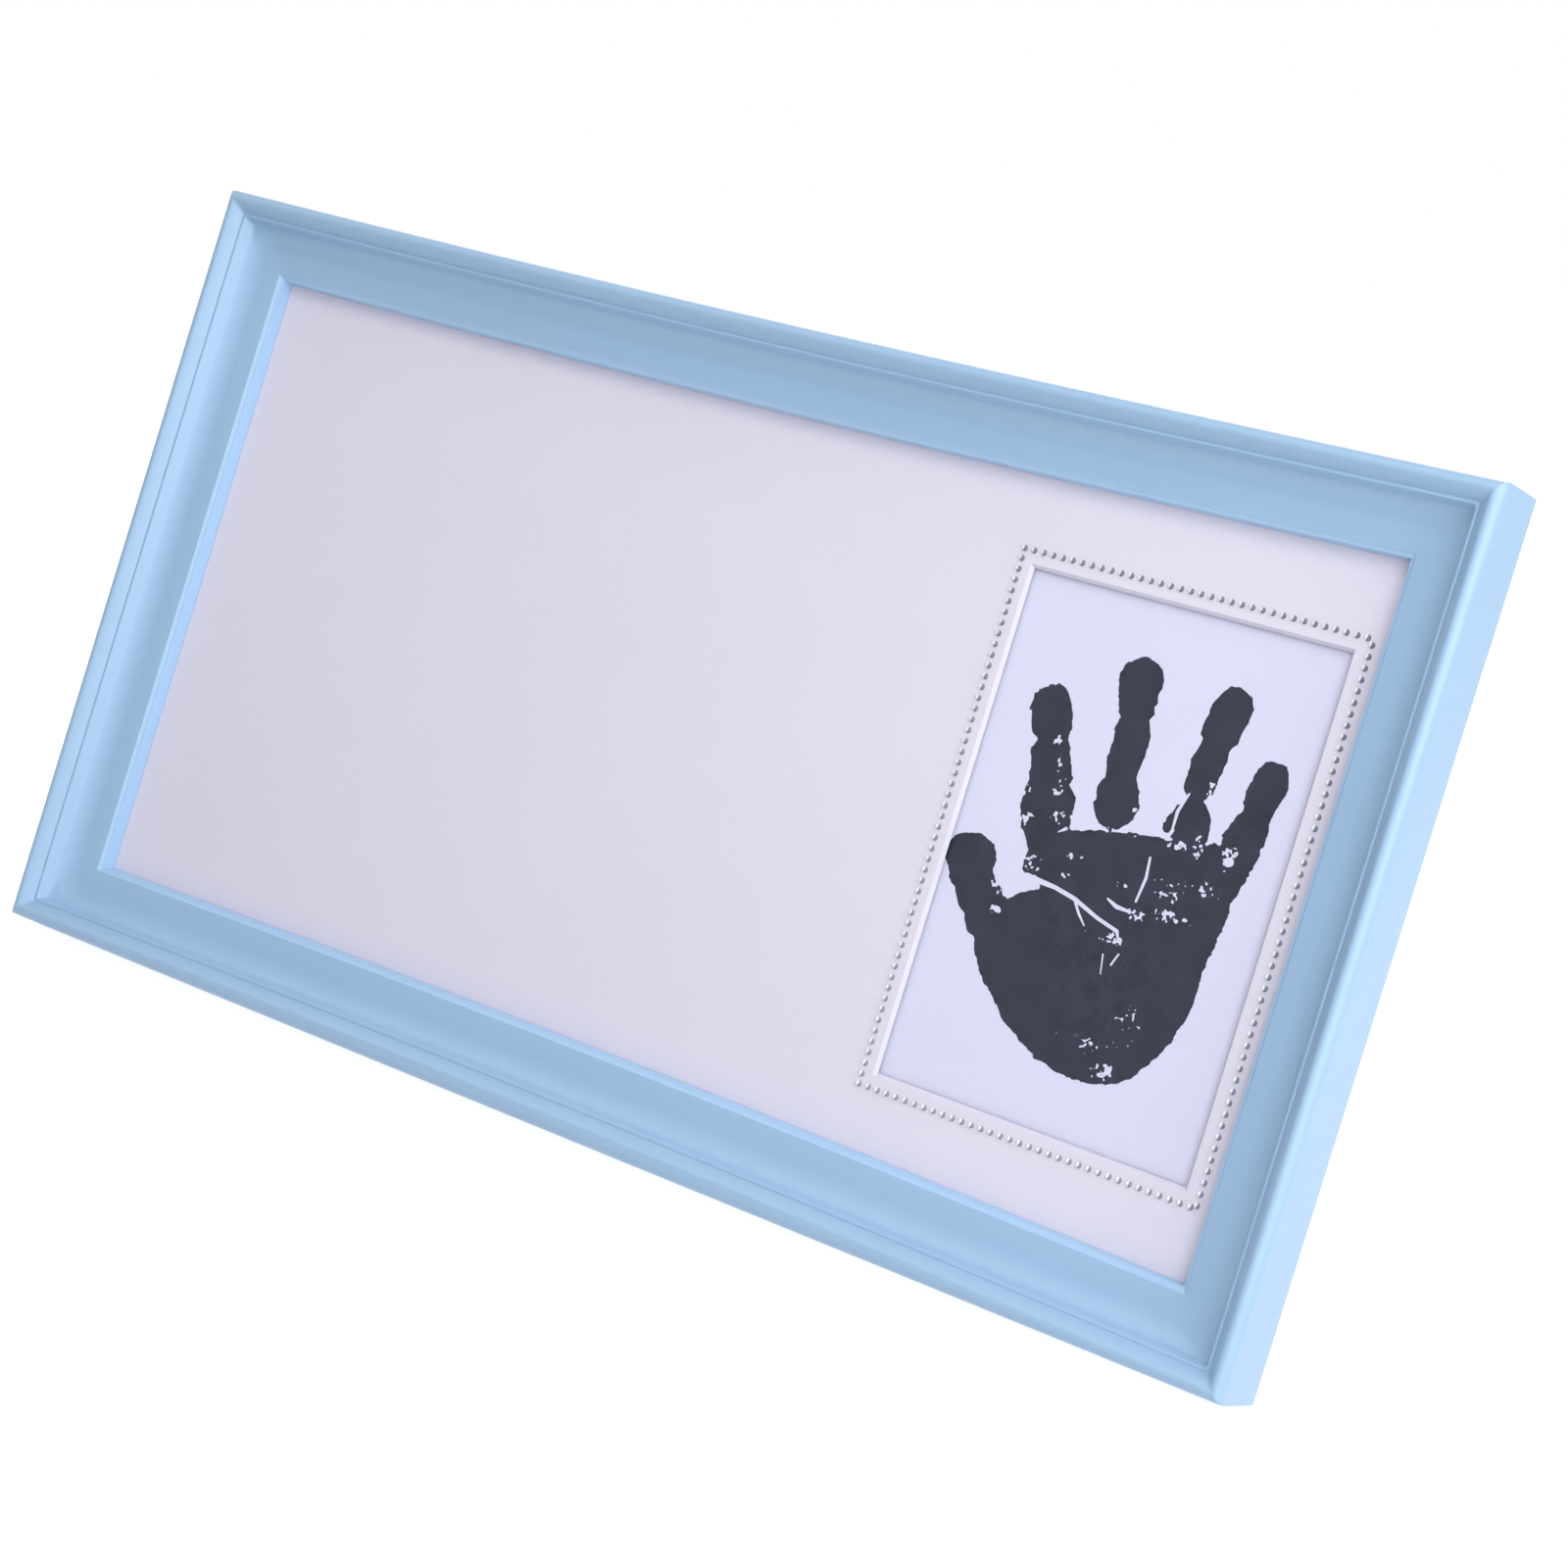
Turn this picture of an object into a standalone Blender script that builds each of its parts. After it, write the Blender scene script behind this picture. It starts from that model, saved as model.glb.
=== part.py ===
"""Landscape photo frame for a baby's milestone print, standing on its easel strut.

Four mitred rails of cove moulding hold a bevelled mat, a clear sheet, a print card, a filler
card and a back board. Strips of half-round beads run round the mat's window. Turn buttons close
the back, a hinged strut stands the frame up and two sawtooth hangers let it hang on a wall.

The frame is modelled flat: x to the right, y up along the frame, z out of its front, with the
backs of the rails at z = 0. One parent empty then leans the whole of it back on the strut.
"""

import math

import bmesh
import bpy
from mathutils import Matrix, Vector

# Outside of the frame
FRAME_WIDTH = 0.440
FRAME_HEIGHT = 0.240
LEAN_ANGLE = math.radians(14.0)

# Moulding section: widths run inward from the outer edge, depths run back from the crown
RAIL_WIDTH = 0.0234
MOULDING_DEPTH = 0.0152
OUTER_ROUND_WIDTH = 0.0024
OUTER_ROUND_DEPTH = 0.0034
CROWN_RADIUS = 0.0014
RIM_TILT = math.radians(43.0)
RIM_WIDTH = 0.0060
GROOVE_WIDTH = 0.0003
GROOVE_DROP = 0.0007
BEAD_RADIUS = 0.0004
COVE_WIDTH = 0.0090
COVE_FLOOR_DEPTH = 0.0099
COVE_FLOOR_FALL = 0.0006
LIP_WIDTH = 0.0018
LIP_STEP_WIDTH = 0.0006
LIP_STEP_DROP = 0.0008
LIP_TREAD = 0.0008
LIP_TREAD_FALL = 0.0004
LIP_NOSE = 0.0002
RABBET_OVERLAP = 0.0062
LONG_RAIL_BOW = 0.0019
TOP_EDGE_BOW = 0.0018
LONG_RAIL_STATIONS = 12
MITRE_GAP = 0.00006

# Sheets in the rabbet, from the front to the back
SEAT_GAP = 0.0003
SHEET_GAP = 0.00015
SHEET_CLEARANCE = 0.0005
MAT_THICKNESS = 0.0010
GLAZING_THICKNESS = 0.0008
PRINT_THICKNESS = 0.0003
FILLER_THICKNESS = 0.0008
BOARD_THICKNESS = 0.0030

# Window in the mat, and the print card behind it
WINDOW_WIDTH = 0.0965
WINDOW_HEIGHT = 0.1435
WINDOW_RIGHT_MARGIN = 0.00865
WINDOW_Y = -0.0015
PRINT_SIDE_OVERLAP = 0.00275
PRINT_END_OVERLAP = 0.00425

# Strips of half-round beads stuck on the mat round its window
BEAD_DIAMETER = 0.0015
BEAD_HEIGHT = 0.0007
BEAD_PITCH = 0.00306
BEAD_MARGIN_X = 0.0046
BEAD_MARGIN_Y = 0.0045
BEAD_SHIFT_X = -0.0005
BEAD_SHIFT_Y = 0.00015
BEAD_FILM_WIDTH = 0.00156
BEAD_FILM_THICKNESS = 0.0001
BEAD_FILM_GAP = 0.00005

# Corner nails: steel strips bent at a right angle across each mitre
NAIL_STRIP_LEG = 0.0045
NAIL_STRIP_THICKNESS = 0.0006
NAIL_STRIP_HEIGHT = 0.0070
NAIL_STRIP_PLACES = (0.0045, 0.0120)
NAIL_SLOT_CLEARANCE = 0.00025

# Turn buttons and their screws
BUTTON_THICKNESS = 0.0008
BUTTON_PIVOT_RADIUS = 0.0045
BUTTON_TIP_RADIUS = 0.0030
BUTTON_REACH = 0.0150
BUTTON_INSET = 0.0085
BUTTON_FROM_SIDE = 0.140
BUTTON_FROM_END = 0.070
SCREW_SHANK_RADIUS = 0.0015
SCREW_SHANK_DEPTH = 0.0075
SCREW_HEAD_RADIUS = 0.0032
SCREW_HEAD_HEIGHT = 0.0016
SHANK_TIP_SHARE = 0.6
SHANK_CLEARANCE = 0.0001
HEAD_CLEARANCE = 0.0002

# Sawtooth hangers and their nails
HANGER_LENGTH = 0.044
HANGER_HEIGHT = 0.0080
HANGER_THICKNESS = 0.0008
HANGER_RAISE = 0.0018
HANGER_RAISED_LENGTH = 0.030
HANGER_RAMP = 0.0025
HANGER_TEETH = 9
TOOTH_DEPTH = 0.0015
HANGER_FROM_SIDE = 0.070
HANGER_INSET = 0.0085
HANGER_NAIL_X = 0.0192
NAIL_SHANK_RADIUS = 0.0007
NAIL_SHANK_DEPTH = 0.0080
NAIL_HEAD_RADIUS = 0.0017
NAIL_HEAD_HEIGHT = 0.0006

# Easel strut and its rolled hinge
HINGE_FROM_TOP = 0.075
OPEN_ANGLE = math.radians(25.0)
LEAF_THICKNESS = 0.0008
LEAF_LENGTH = 0.0140
HINGE_WIDTH = 0.036
HINGE_MIDDLE_KNUCKLE = 0.012
KNUCKLE_GAP = 0.0003
PIN_RADIUS = 0.0011
PIN_CLEARANCE = 0.0001
PIN_OVERHANG = 0.0006
ROLL_END_ANGLE = math.radians(-20.0)
RIVET_X = 0.011
RIVET_SETBACK = 0.0085
RIVET_SHANK_RADIUS = 0.0015
RIVET_HEAD_RADIUS = 0.0028
RIVET_HEAD_HEIGHT = 0.0010
STRUT_THICKNESS = 0.0030
STRUT_CLOSED_GAP = 0.0004
STRUT_SHOULDER_WIDTH = 0.064
STRUT_FOOT_WIDTH = 0.084
STRUT_HEEL = 0.0060
STRUT_CORNER_RADIUS = 0.0030
STRUT_NOTCH_GAP = 0.0005

# Facets
ROUND_STEPS = 5
COVE_STEPS = 8
BEAD_LINE_STEPS = 4
CORNER_STEPS = 3
BEAD_SIDES = 8
BEAD_RINGS = 4
BUTTON_TIP_STEPS = 6
BUTTON_HEEL_STEPS = 9
HANGER_END_STEPS = 6
SHANK_SIDES = 12
DOME_STEPS = 3
KNUCKLE_STEPS = 12
RAIL_SMOOTH_ANGLE = math.radians(28.0)
SMOOTH_ANGLE = math.radians(50.0)

# Worked out from the sizes above
HALF_WIDTH = FRAME_WIDTH / 2
HALF_HEIGHT = FRAME_HEIGHT / 2
WINDOW_X = HALF_WIDTH - RAIL_WIDTH - WINDOW_RIGHT_MARGIN - WINDOW_WIDTH / 2
HINGE_Y = HALF_HEIGHT - HINGE_FROM_TOP
FRONT_SHEETS_DEPTH = MAT_THICKNESS + GLAZING_THICKNESS + PRINT_THICKNESS + FILLER_THICKNESS
RABBET_DEPTH = 5 * SHEET_GAP + FRONT_SHEETS_DEPTH + BOARD_THICKNESS
FRAME_DEPTH = MOULDING_DEPTH + RABBET_DEPTH
RABBET_WALL = RAIL_WIDTH - RABBET_OVERLAP
SHEET_WIDTH = FRAME_WIDTH - 2 * (RABBET_WALL + SHEET_CLEARANCE)
SHEET_HEIGHT = FRAME_HEIGHT - 2 * (RABBET_WALL + SHEET_CLEARANCE)
KNUCKLE_INNER = PIN_RADIUS + PIN_CLEARANCE
KNUCKLE_OUTER = KNUCKLE_INNER + LEAF_THICKNESS
AXIS_STANDOFF = KNUCKLE_OUTER + SEAT_GAP


def clear_scene():
    for obj in list(bpy.data.objects):
        bpy.data.objects.remove(obj, do_unlink=True)
    for collection in list(bpy.data.collections):
        bpy.data.collections.remove(collection)


def new_collection(name):
    collection = bpy.data.collections.new(name)
    bpy.context.scene.collection.children.link(collection)
    return collection


def make_material(name, colour, roughness, metallic=0.0, alpha=1.0):
    material = bpy.data.materials.new(name)
    material.use_nodes = True
    shader = material.node_tree.nodes["Principled BSDF"]
    shader.inputs["Base Color"].default_value = (*colour, 1.0)
    shader.inputs["Roughness"].default_value = roughness
    shader.inputs["Metallic"].default_value = metallic
    shader.inputs["Alpha"].default_value = alpha
    material.diffuse_color = (*colour, alpha)
    return material


def arc_points(centre, radius, start, end, steps):
    """Points along an arc, both ends included. Radius may be one value or (along x, along y)."""
    radius_x, radius_y = radius if isinstance(radius, tuple) else (radius, radius)
    angles = [start + (end - start) * i / steps for i in range(steps + 1)]
    return [(centre[0] + radius_x * math.cos(a), centre[1] + radius_y * math.sin(a)) for a in angles]


def circle_points(centre, radius, sides):
    return arc_points(centre, radius, 0.0, 2 * math.pi, sides)[:-1]


def rectangle_points(width, height, centre=(0.0, 0.0)):
    x, y = centre
    return [
        (x - width / 2, y - height / 2),
        (x + width / 2, y - height / 2),
        (x + width / 2, y + height / 2),
        (x - width / 2, y + height / 2),
    ]


def rounded_corner(before, corner, after, radius):
    """The arc that rounds one corner of an outline, from the side before it to the side after it."""
    corner = Vector(corner)
    to_before = (Vector(before) - corner).normalized()
    to_after = (Vector(after) - corner).normalized()
    half = to_before.angle(to_after) / 2
    centre = corner + (to_before + to_after).normalized() * (radius / math.sin(half))
    start = corner + to_before * (radius / math.tan(half)) - centre
    end = corner + to_after * (radius / math.tan(half)) - centre
    first = math.atan2(start.y, start.x)
    turn = (math.atan2(end.y, end.x) - first + math.pi) % (2 * math.pi) - math.pi
    return arc_points(centre, radius, first, first + turn, CORNER_STEPS)


def mesh_from_bmesh(name, bm, smooth_angle=None):
    bmesh.ops.recalc_face_normals(bm, faces=bm.faces)
    mesh = bpy.data.meshes.new(name)
    bm.to_mesh(mesh)
    bm.free()
    if smooth_angle is not None:
        mesh.shade_smooth()
        mesh.set_sharp_from_angle(angle=smooth_angle)
    return mesh


def outline_bmesh(name, loops, thickness):
    """A flat outline, with the later loops as its holes, extruded to both sides of z = 0."""
    curve = bpy.data.curves.new(name, "CURVE")
    curve.dimensions = "2D"
    curve.fill_mode = "BOTH"
    curve.extrude = thickness / 2
    for loop in loops:
        spline = curve.splines.new("POLY")
        spline.points.add(len(loop) - 1)
        for point, (x, y) in zip(spline.points, loop):
            point.co = (x, y, 0.0, 1.0)
        spline.use_cyclic_u = True
    holder = bpy.data.objects.new(name, curve)
    bpy.context.scene.collection.objects.link(holder)
    bpy.context.view_layer.update()
    graph = bpy.context.evaluated_depsgraph_get()
    mesh = bpy.data.meshes.new_from_object(holder.evaluated_get(graph))
    bm = bmesh.new()
    bm.from_mesh(mesh)
    bmesh.ops.remove_doubles(bm, verts=bm.verts, dist=1e-6)
    bpy.data.objects.remove(holder, do_unlink=True)
    bpy.data.curves.remove(curve)
    bpy.data.meshes.remove(mesh)
    return bm


def slice_bmesh(bm, axis, places):
    """Adds a loop of edges where each plane across the axis meets the mesh."""
    normal = Vector((0.0, 0.0, 0.0))
    normal[axis] = 1.0
    for place in places:
        geometry = bm.verts[:] + bm.edges[:] + bm.faces[:]
        bmesh.ops.bisect_plane(bm, geom=geometry, plane_co=normal * place, plane_no=normal)


def trim_bmesh(bm, point, normal):
    """Cuts away what lies on the normal's side of a plane and closes the cut."""
    geometry = bm.verts[:] + bm.edges[:] + bm.faces[:]
    cut = bmesh.ops.bisect_plane(
        bm, geom=geometry, plane_co=point, plane_no=normal, clear_outer=True
    )
    edges = [part for part in cut["geom_cut"] if isinstance(part, bmesh.types.BMEdge)]
    bmesh.ops.edgeloop_fill(bm, edges=edges)


def box_mesh(name, size, centre=(0.0, 0.0, 0.0)):
    bm = bmesh.new()
    bmesh.ops.create_cube(bm, size=1.0)
    bmesh.ops.scale(bm, vec=size, verts=bm.verts)
    bmesh.ops.translate(bm, vec=centre, verts=bm.verts)
    return mesh_from_bmesh(name, bm)


def cylinder_mesh(name, radius, depth, sides, centre=(0.0, 0.0, 0.0), turn=Matrix.Identity(3)):
    bm = bmesh.new()
    bmesh.ops.create_cone(
        bm, cap_ends=True, segments=sides, radius1=radius, radius2=radius, depth=depth
    )
    bmesh.ops.rotate(bm, matrix=turn, verts=bm.verts)
    bmesh.ops.translate(bm, vec=centre, verts=bm.verts)
    return mesh_from_bmesh(name, bm, SMOOTH_ANGLE)


class Builder:
    """Puts each mesh into the scene as a node or as a cutter, under the empty that carries it."""

    def __init__(self, parts, cutters):
        self.parts = parts
        self.cutters = cutters

    def empty(self, name, location=(0.0, 0.0, 0.0), turn_x=0.0, parent=None):
        empty = bpy.data.objects.new(name, None)
        self.parts.objects.link(empty)
        empty.empty_display_size = 0.02
        empty.location = location
        empty.rotation_euler = (turn_x, 0.0, 0.0)
        empty.parent = parent
        return empty

    def node(self, name, mesh, material, parent, location=(0.0, 0.0, 0.0), rotation=(0.0, 0.0, 0.0)):
        obj = bpy.data.objects.new(name, mesh)
        self.parts.objects.link(obj)
        mesh.materials.clear()
        mesh.materials.append(material)
        obj.location = location
        obj.rotation_euler = rotation
        obj.parent = parent
        return obj

    def turned(self, name, profile, material, parent, location, sides=SHANK_SIDES):
        """A turned piece: its profile runs down the outer side, and a Screw takes it round z."""
        mesh = bpy.data.meshes.new(name)
        points = [(radius, 0.0, height) for radius, height in profile]
        mesh.from_pydata(points, [(i, i + 1) for i in range(len(points) - 1)], [])
        obj = self.node(name, mesh, material, parent, location)
        screw = obj.modifiers.new("turn", "SCREW")
        screw.axis = "Z"
        screw.angle = 2 * math.pi
        screw.steps = sides
        screw.render_steps = sides
        screw.use_merge_vertices = True
        screw.merge_threshold = 0.00001
        screw.use_smooth_shade = True
        return obj

    def cutter(self, name, mesh, parent, location=(0.0, 0.0, 0.0), rotation=(0.0, 0.0, 0.0)):
        obj = bpy.data.objects.new(name, mesh)
        self.cutters.objects.link(obj)
        obj.location = location
        obj.rotation_euler = rotation
        obj.parent = parent
        obj.hide_render = True
        obj.display_type = "WIRE"
        return obj


def combine(obj, other, operation):
    boolean = obj.modifiers.new(operation.lower() + "_" + other.name, "BOOLEAN")
    boolean.operation = operation
    boolean.solver = "EXACT"
    boolean.object = other


def cut(obj, cutter):
    combine(obj, cutter, "DIFFERENCE")


def make_materials():
    return {
        "moulding": make_material("sky_blue_moulding", (0.40, 0.61, 0.83), 0.38),
        "glazing": make_material("clear_glazing", (0.95, 0.97, 1.0), 0.05, alpha=0.2),
        "mat": make_material("lilac_white_mat", (0.75, 0.72, 0.80), 0.85),
        "print": make_material("print_card", (0.72, 0.72, 0.90), 0.75),
        "pearl": make_material("silver_pearl", (0.74, 0.73, 0.80), 0.20, metallic=0.6),
        "filler": make_material("grey_filler_card", (0.42, 0.38, 0.32), 0.90),
        "board": make_material("brown_back_board", (0.30, 0.18, 0.10), 0.80),
        "steel": make_material("zinc_plated_steel", (0.62, 0.63, 0.64), 0.35, metallic=1.0),
        "brass": make_material("yellow_zinc_steel", (0.72, 0.56, 0.30), 0.35, metallic=1.0),
    }


def crown_points():
    """The rounded outer edge, the crown it rolls over, and the rim that slopes to the groove."""
    outer_centre = (OUTER_ROUND_WIDTH, OUTER_ROUND_DEPTH)
    outer_radii = (OUTER_ROUND_WIDTH, OUTER_ROUND_DEPTH)
    outer = arc_points(outer_centre, outer_radii, math.pi, 1.5 * math.pi, ROUND_STEPS)
    crown_centre = (OUTER_ROUND_WIDTH, CROWN_RADIUS)
    crown_end = RIM_TILT - math.pi / 2
    crown = arc_points(crown_centre, CROWN_RADIUS, -math.pi / 2, crown_end, ROUND_STEPS)
    slope_start = crown[-1]
    slope_drop = (RIM_WIDTH - slope_start[0]) * math.tan(RIM_TILT)
    return outer + crown[1:] + [(RIM_WIDTH, slope_start[1] + slope_drop)]


def bead_and_cove_points(rim_end):
    """The groove, the fine bead beside it, and the cove that sweeps down to its floor."""
    groove = (rim_end[0] + GROOVE_WIDTH / 2, rim_end[1] + GROOVE_DROP)
    bead_centre = (rim_end[0] + GROOVE_WIDTH + BEAD_RADIUS, groove[1])
    bead = arc_points(bead_centre, BEAD_RADIUS, math.pi, 2 * math.pi, BEAD_LINE_STEPS)
    cove_top = bead[-1]
    cove_centre = (cove_top[0] + COVE_WIDTH, cove_top[1])
    cove_radii = (COVE_WIDTH, COVE_FLOOR_DEPTH - cove_top[1])
    cove = arc_points(cove_centre, cove_radii, math.pi, math.pi / 2, COVE_STEPS)
    return [groove] + bead[1:] + cove[1:]


def lip_points():
    """The end of the cove floor, then the small step and the wall that drop to the sight edge."""
    floor_end = (RAIL_WIDTH - LIP_WIDTH, COVE_FLOOR_DEPTH + COVE_FLOOR_FALL)
    step_foot = (floor_end[0] + LIP_STEP_WIDTH, floor_end[1] + LIP_STEP_DROP)
    tread_end = (step_foot[0] + LIP_TREAD, step_foot[1] + LIP_TREAD_FALL)
    return [
        (floor_end[0] - LIP_NOSE, floor_end[1]),
        (floor_end[0], floor_end[1] + LIP_NOSE),
        (step_foot[0], step_foot[1]),
        (tread_end[0] - LIP_NOSE, tread_end[1] - LIP_NOSE),
        (tread_end[0], tread_end[1]),
        (RAIL_WIDTH, MOULDING_DEPTH),
    ]


def moulding_points():
    """The whole section as (distance inward, depth below the crown)."""
    crown = crown_points()
    return (
        [(0.0, FRAME_DEPTH)]
        + crown
        + bead_and_cove_points(crown[-1])
        + lip_points()
        + [(RABBET_WALL, MOULDING_DEPTH), (RABBET_WALL, FRAME_DEPTH)]
    )


def bow_at(inward, depth, edge_bow, face_bow):
    """How far a long rail's face bows inward at mid-length. Its rabbet and its back stay straight."""
    tiny = 1e-6
    if depth > MOULDING_DEPTH - tiny and inward < RAIL_WIDTH - tiny:
        return 0.0
    return edge_bow + (face_bow - edge_bow) * min(inward / OUTER_ROUND_WIDTH, 1.0)


def rail_mesh(name, length, edge_bow, face_bow, stations):
    """One mitred rail along x, its outer edge at y = 0 and its back at z = 0."""
    bm = outline_bmesh(name, [moulding_points()], 1.0)
    slice_bmesh(bm, 2, [i / stations - 0.5 for i in range(1, stations)])
    for vert in bm.verts:
        inward, depth, place = vert.co
        along = place * (length - 2 * inward - 2 * MITRE_GAP)
        bow = bow_at(inward, depth, edge_bow, face_bow) * math.cos(math.pi * place)
        vert.co = (along, inward + bow, FRAME_DEPTH - depth)
    return mesh_from_bmesh(name, bm, RAIL_SMOOTH_ANGLE)


def build_rails(builder, material, pose):
    """The four rails, each turned so that its inward side faces the middle of the frame."""
    long_rails = {
        "bottom_rail": (-HALF_HEIGHT, 0.0, 0.0),
        "top_rail": (HALF_HEIGHT, math.pi, TOP_EDGE_BOW),
    }
    short_rails = {
        "right_rail": (HALF_WIDTH, math.pi / 2),
        "left_rail": (-HALF_WIDTH, -math.pi / 2),
    }
    rails = {}
    for name, (y, turn, edge_bow) in long_rails.items():
        mesh = rail_mesh(name, FRAME_WIDTH, edge_bow, LONG_RAIL_BOW, LONG_RAIL_STATIONS)
        rails[name] = builder.node(name, mesh, material, pose, (0.0, y, 0.0), (0.0, 0.0, turn))
    for name, (x, turn) in short_rails.items():
        mesh = rail_mesh(name, FRAME_HEIGHT, 0.0, 0.0, 1)
        rails[name] = builder.node(name, mesh, material, pose, (x, 0.0, 0.0), (0.0, 0.0, turn))
    return rails


def strip_outline(grow):
    """A right-angled strip seen from its end, its corner at the origin and its legs towards +x."""
    half = NAIL_STRIP_THICKNESS / 2 + grow
    reach = (NAIL_STRIP_LEG + grow) / math.sqrt(2.0)
    corner = half * math.sqrt(2.0)
    side = half / math.sqrt(2.0)
    return [
        (-corner, 0.0),
        (reach - side, -reach - side),
        (reach + side, -reach + side),
        (corner, 0.0),
        (reach + side, reach - side),
        (reach - side, reach + side),
    ]


def strip_mesh(name, grow, height):
    bm = outline_bmesh(name, [strip_outline(grow)], height)
    bmesh.ops.translate(bm, vec=(0.0, 0.0, height / 2), verts=bm.verts)
    return mesh_from_bmesh(name, bm)


def build_corner_nails(builder, material, rails, pose):
    """Two bent strips across the back of each mitre, each in a slot that both rails share."""
    corners = {
        "bottom_left": (-1, -1, "bottom_rail", "left_rail"),
        "bottom_right": (1, -1, "bottom_rail", "right_rail"),
        "top_right": (1, 1, "top_rail", "right_rail"),
        "top_left": (-1, 1, "top_rail", "left_rail"),
    }
    slot_height = NAIL_STRIP_HEIGHT + 2 * SEAT_GAP
    for corner, (side_x, side_y, first, second) in corners.items():
        turn = math.atan2(-side_y, -side_x)
        for number, inward in enumerate(NAIL_STRIP_PLACES, start=1):
            name = f"corner_nail_{corner}_{number}"
            x = side_x * (HALF_WIDTH - inward)
            y = side_y * (HALF_HEIGHT - inward)
            strip = strip_mesh(name, 0.0, NAIL_STRIP_HEIGHT)
            builder.node(name, strip, material, pose, (x, y, SEAT_GAP), (0.0, 0.0, turn))
            slot = strip_mesh(name + "_slot", NAIL_SLOT_CLEARANCE, slot_height + SEAT_GAP)
            slot_cutter = builder.cutter(
                name + "_slot", slot, pose, (x, y, -SEAT_GAP), (0.0, 0.0, turn)
            )
            cut(rails[first], slot_cutter)
            cut(rails[second], slot_cutter)


def build_sheets(builder, materials, pose):
    """The stack in the rabbet. Each sheet lies one sheet gap behind the one before it."""
    full = (SHEET_WIDTH, SHEET_HEIGHT)
    card = (WINDOW_WIDTH + 2 * PRINT_SIDE_OVERLAP, WINDOW_HEIGHT + 2 * PRINT_END_OVERLAP)
    sheets = (
        ("mat_board", "mat", None, MAT_THICKNESS, (0.0, 0.0)),
        ("glazing_sheet", "glazing", full, GLAZING_THICKNESS, (0.0, 0.0)),
        ("print_card", "print", card, PRINT_THICKNESS, (WINDOW_X, WINDOW_Y)),
        ("filler_card", "filler", full, FILLER_THICKNESS, (0.0, 0.0)),
    )
    front = RABBET_DEPTH - SHEET_GAP
    for name, material, size, thickness, middle in sheets:
        mesh = box_mesh(name, (*size, thickness)) if size else mat_mesh()
        place = (*middle, front - thickness / 2)
        builder.node(name, mesh, materials[material], pose, place)
        front -= thickness + SHEET_GAP


def mat_mesh():
    """The mat, its window cut at 45 degrees so that the opening is widest at the front."""
    window = rectangle_points(WINDOW_WIDTH, WINDOW_HEIGHT, (WINDOW_X, WINDOW_Y))
    outline = rectangle_points(SHEET_WIDTH, SHEET_HEIGHT)
    bm = outline_bmesh("mat_board", [outline, window], MAT_THICKNESS)
    for vert in bm.verts:
        across = vert.co.x - WINDOW_X
        up = vert.co.y - WINDOW_Y
        at_window = abs(across) < WINDOW_WIDTH / 2 + 1e-6 and abs(up) < WINDOW_HEIGHT / 2 + 1e-6
        if at_window and vert.co.z > 0.0:
            vert.co.x += math.copysign(MAT_THICKNESS, across)
            vert.co.y += math.copysign(MAT_THICKNESS, up)
    return mesh_from_bmesh("mat_board", bm)


def bead_runs():
    """Where each strip's first bead lies, which way the strip runs and how many beads it has.

    The top and bottom strips start at the left corners. The right one starts just below the top
    strip and takes in the lower corner, and the left one is centred between top and bottom.
    """
    left = WINDOW_X - WINDOW_WIDTH / 2 - BEAD_MARGIN_X + BEAD_SHIFT_X
    right = WINDOW_X + WINDOW_WIDTH / 2 + BEAD_MARGIN_X + BEAD_SHIFT_X
    bottom = WINDOW_Y - WINDOW_HEIGHT / 2 - BEAD_MARGIN_Y + BEAD_SHIFT_Y
    top = WINDOW_Y + WINDOW_HEIGHT / 2 + BEAD_MARGIN_Y + BEAD_SHIFT_Y
    turned_corner = BEAD_FILM_WIDTH + BEAD_FILM_GAP
    across = math.floor((right - left) / BEAD_PITCH)
    across_short = math.floor((right - left - turned_corner) / BEAD_PITCH)
    down = math.floor((top - bottom - turned_corner) / BEAD_PITCH)
    down_short = math.floor((top - bottom - 2 * turned_corner) / BEAD_PITCH)
    left_start = (top + bottom + down_short * BEAD_PITCH) / 2
    return {
        "top": (left, top, 0.0, across + 1),
        "right": (right, top - turned_corner, -math.pi / 2, down + 1),
        "bottom": (left, bottom, 0.0, across_short + 1),
        "left": (left, left_start, -math.pi / 2, down_short + 1),
    }


def beads_mesh(name, count):
    """A row of half-round beads along x, their flat sides in the middle of the film."""
    bm = bmesh.new()
    radius = BEAD_DIAMETER / 2
    for number in range(count):
        ball = bmesh.ops.create_uvsphere(bm, u_segments=BEAD_SIDES, v_segments=BEAD_RINGS, radius=radius)
        for vert in ball["verts"]:
            vert.co.z = max(vert.co.z * BEAD_HEIGHT / radius, BEAD_FILM_THICKNESS / 2)
            vert.co.x += number * BEAD_PITCH
    return mesh_from_bmesh(name, bm, SMOOTH_ANGLE)


def build_bead_strips(builder, material, pose):
    """Four strips on the mat, each a film with its beads joined to it."""
    z = RABBET_DEPTH - SHEET_GAP + BEAD_FILM_GAP
    for side, (x, y, turn, count) in bead_runs().items():
        name = "bead_strip_" + side
        length = (count - 1) * BEAD_PITCH + BEAD_FILM_WIDTH
        middle = ((length - BEAD_FILM_WIDTH) / 2, 0.0, BEAD_FILM_THICKNESS / 2)
        film = box_mesh(name, (length, BEAD_FILM_WIDTH, BEAD_FILM_THICKNESS), middle)
        strip = builder.node(name, film, material, pose, (x, y, z), (0.0, 0.0, turn))
        beads_name = name + "_beads"
        beads = beads_mesh(beads_name, count)
        combine(strip, builder.cutter(beads_name, beads, pose, (x, y, z), (0.0, 0.0, turn)), "UNION")


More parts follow.
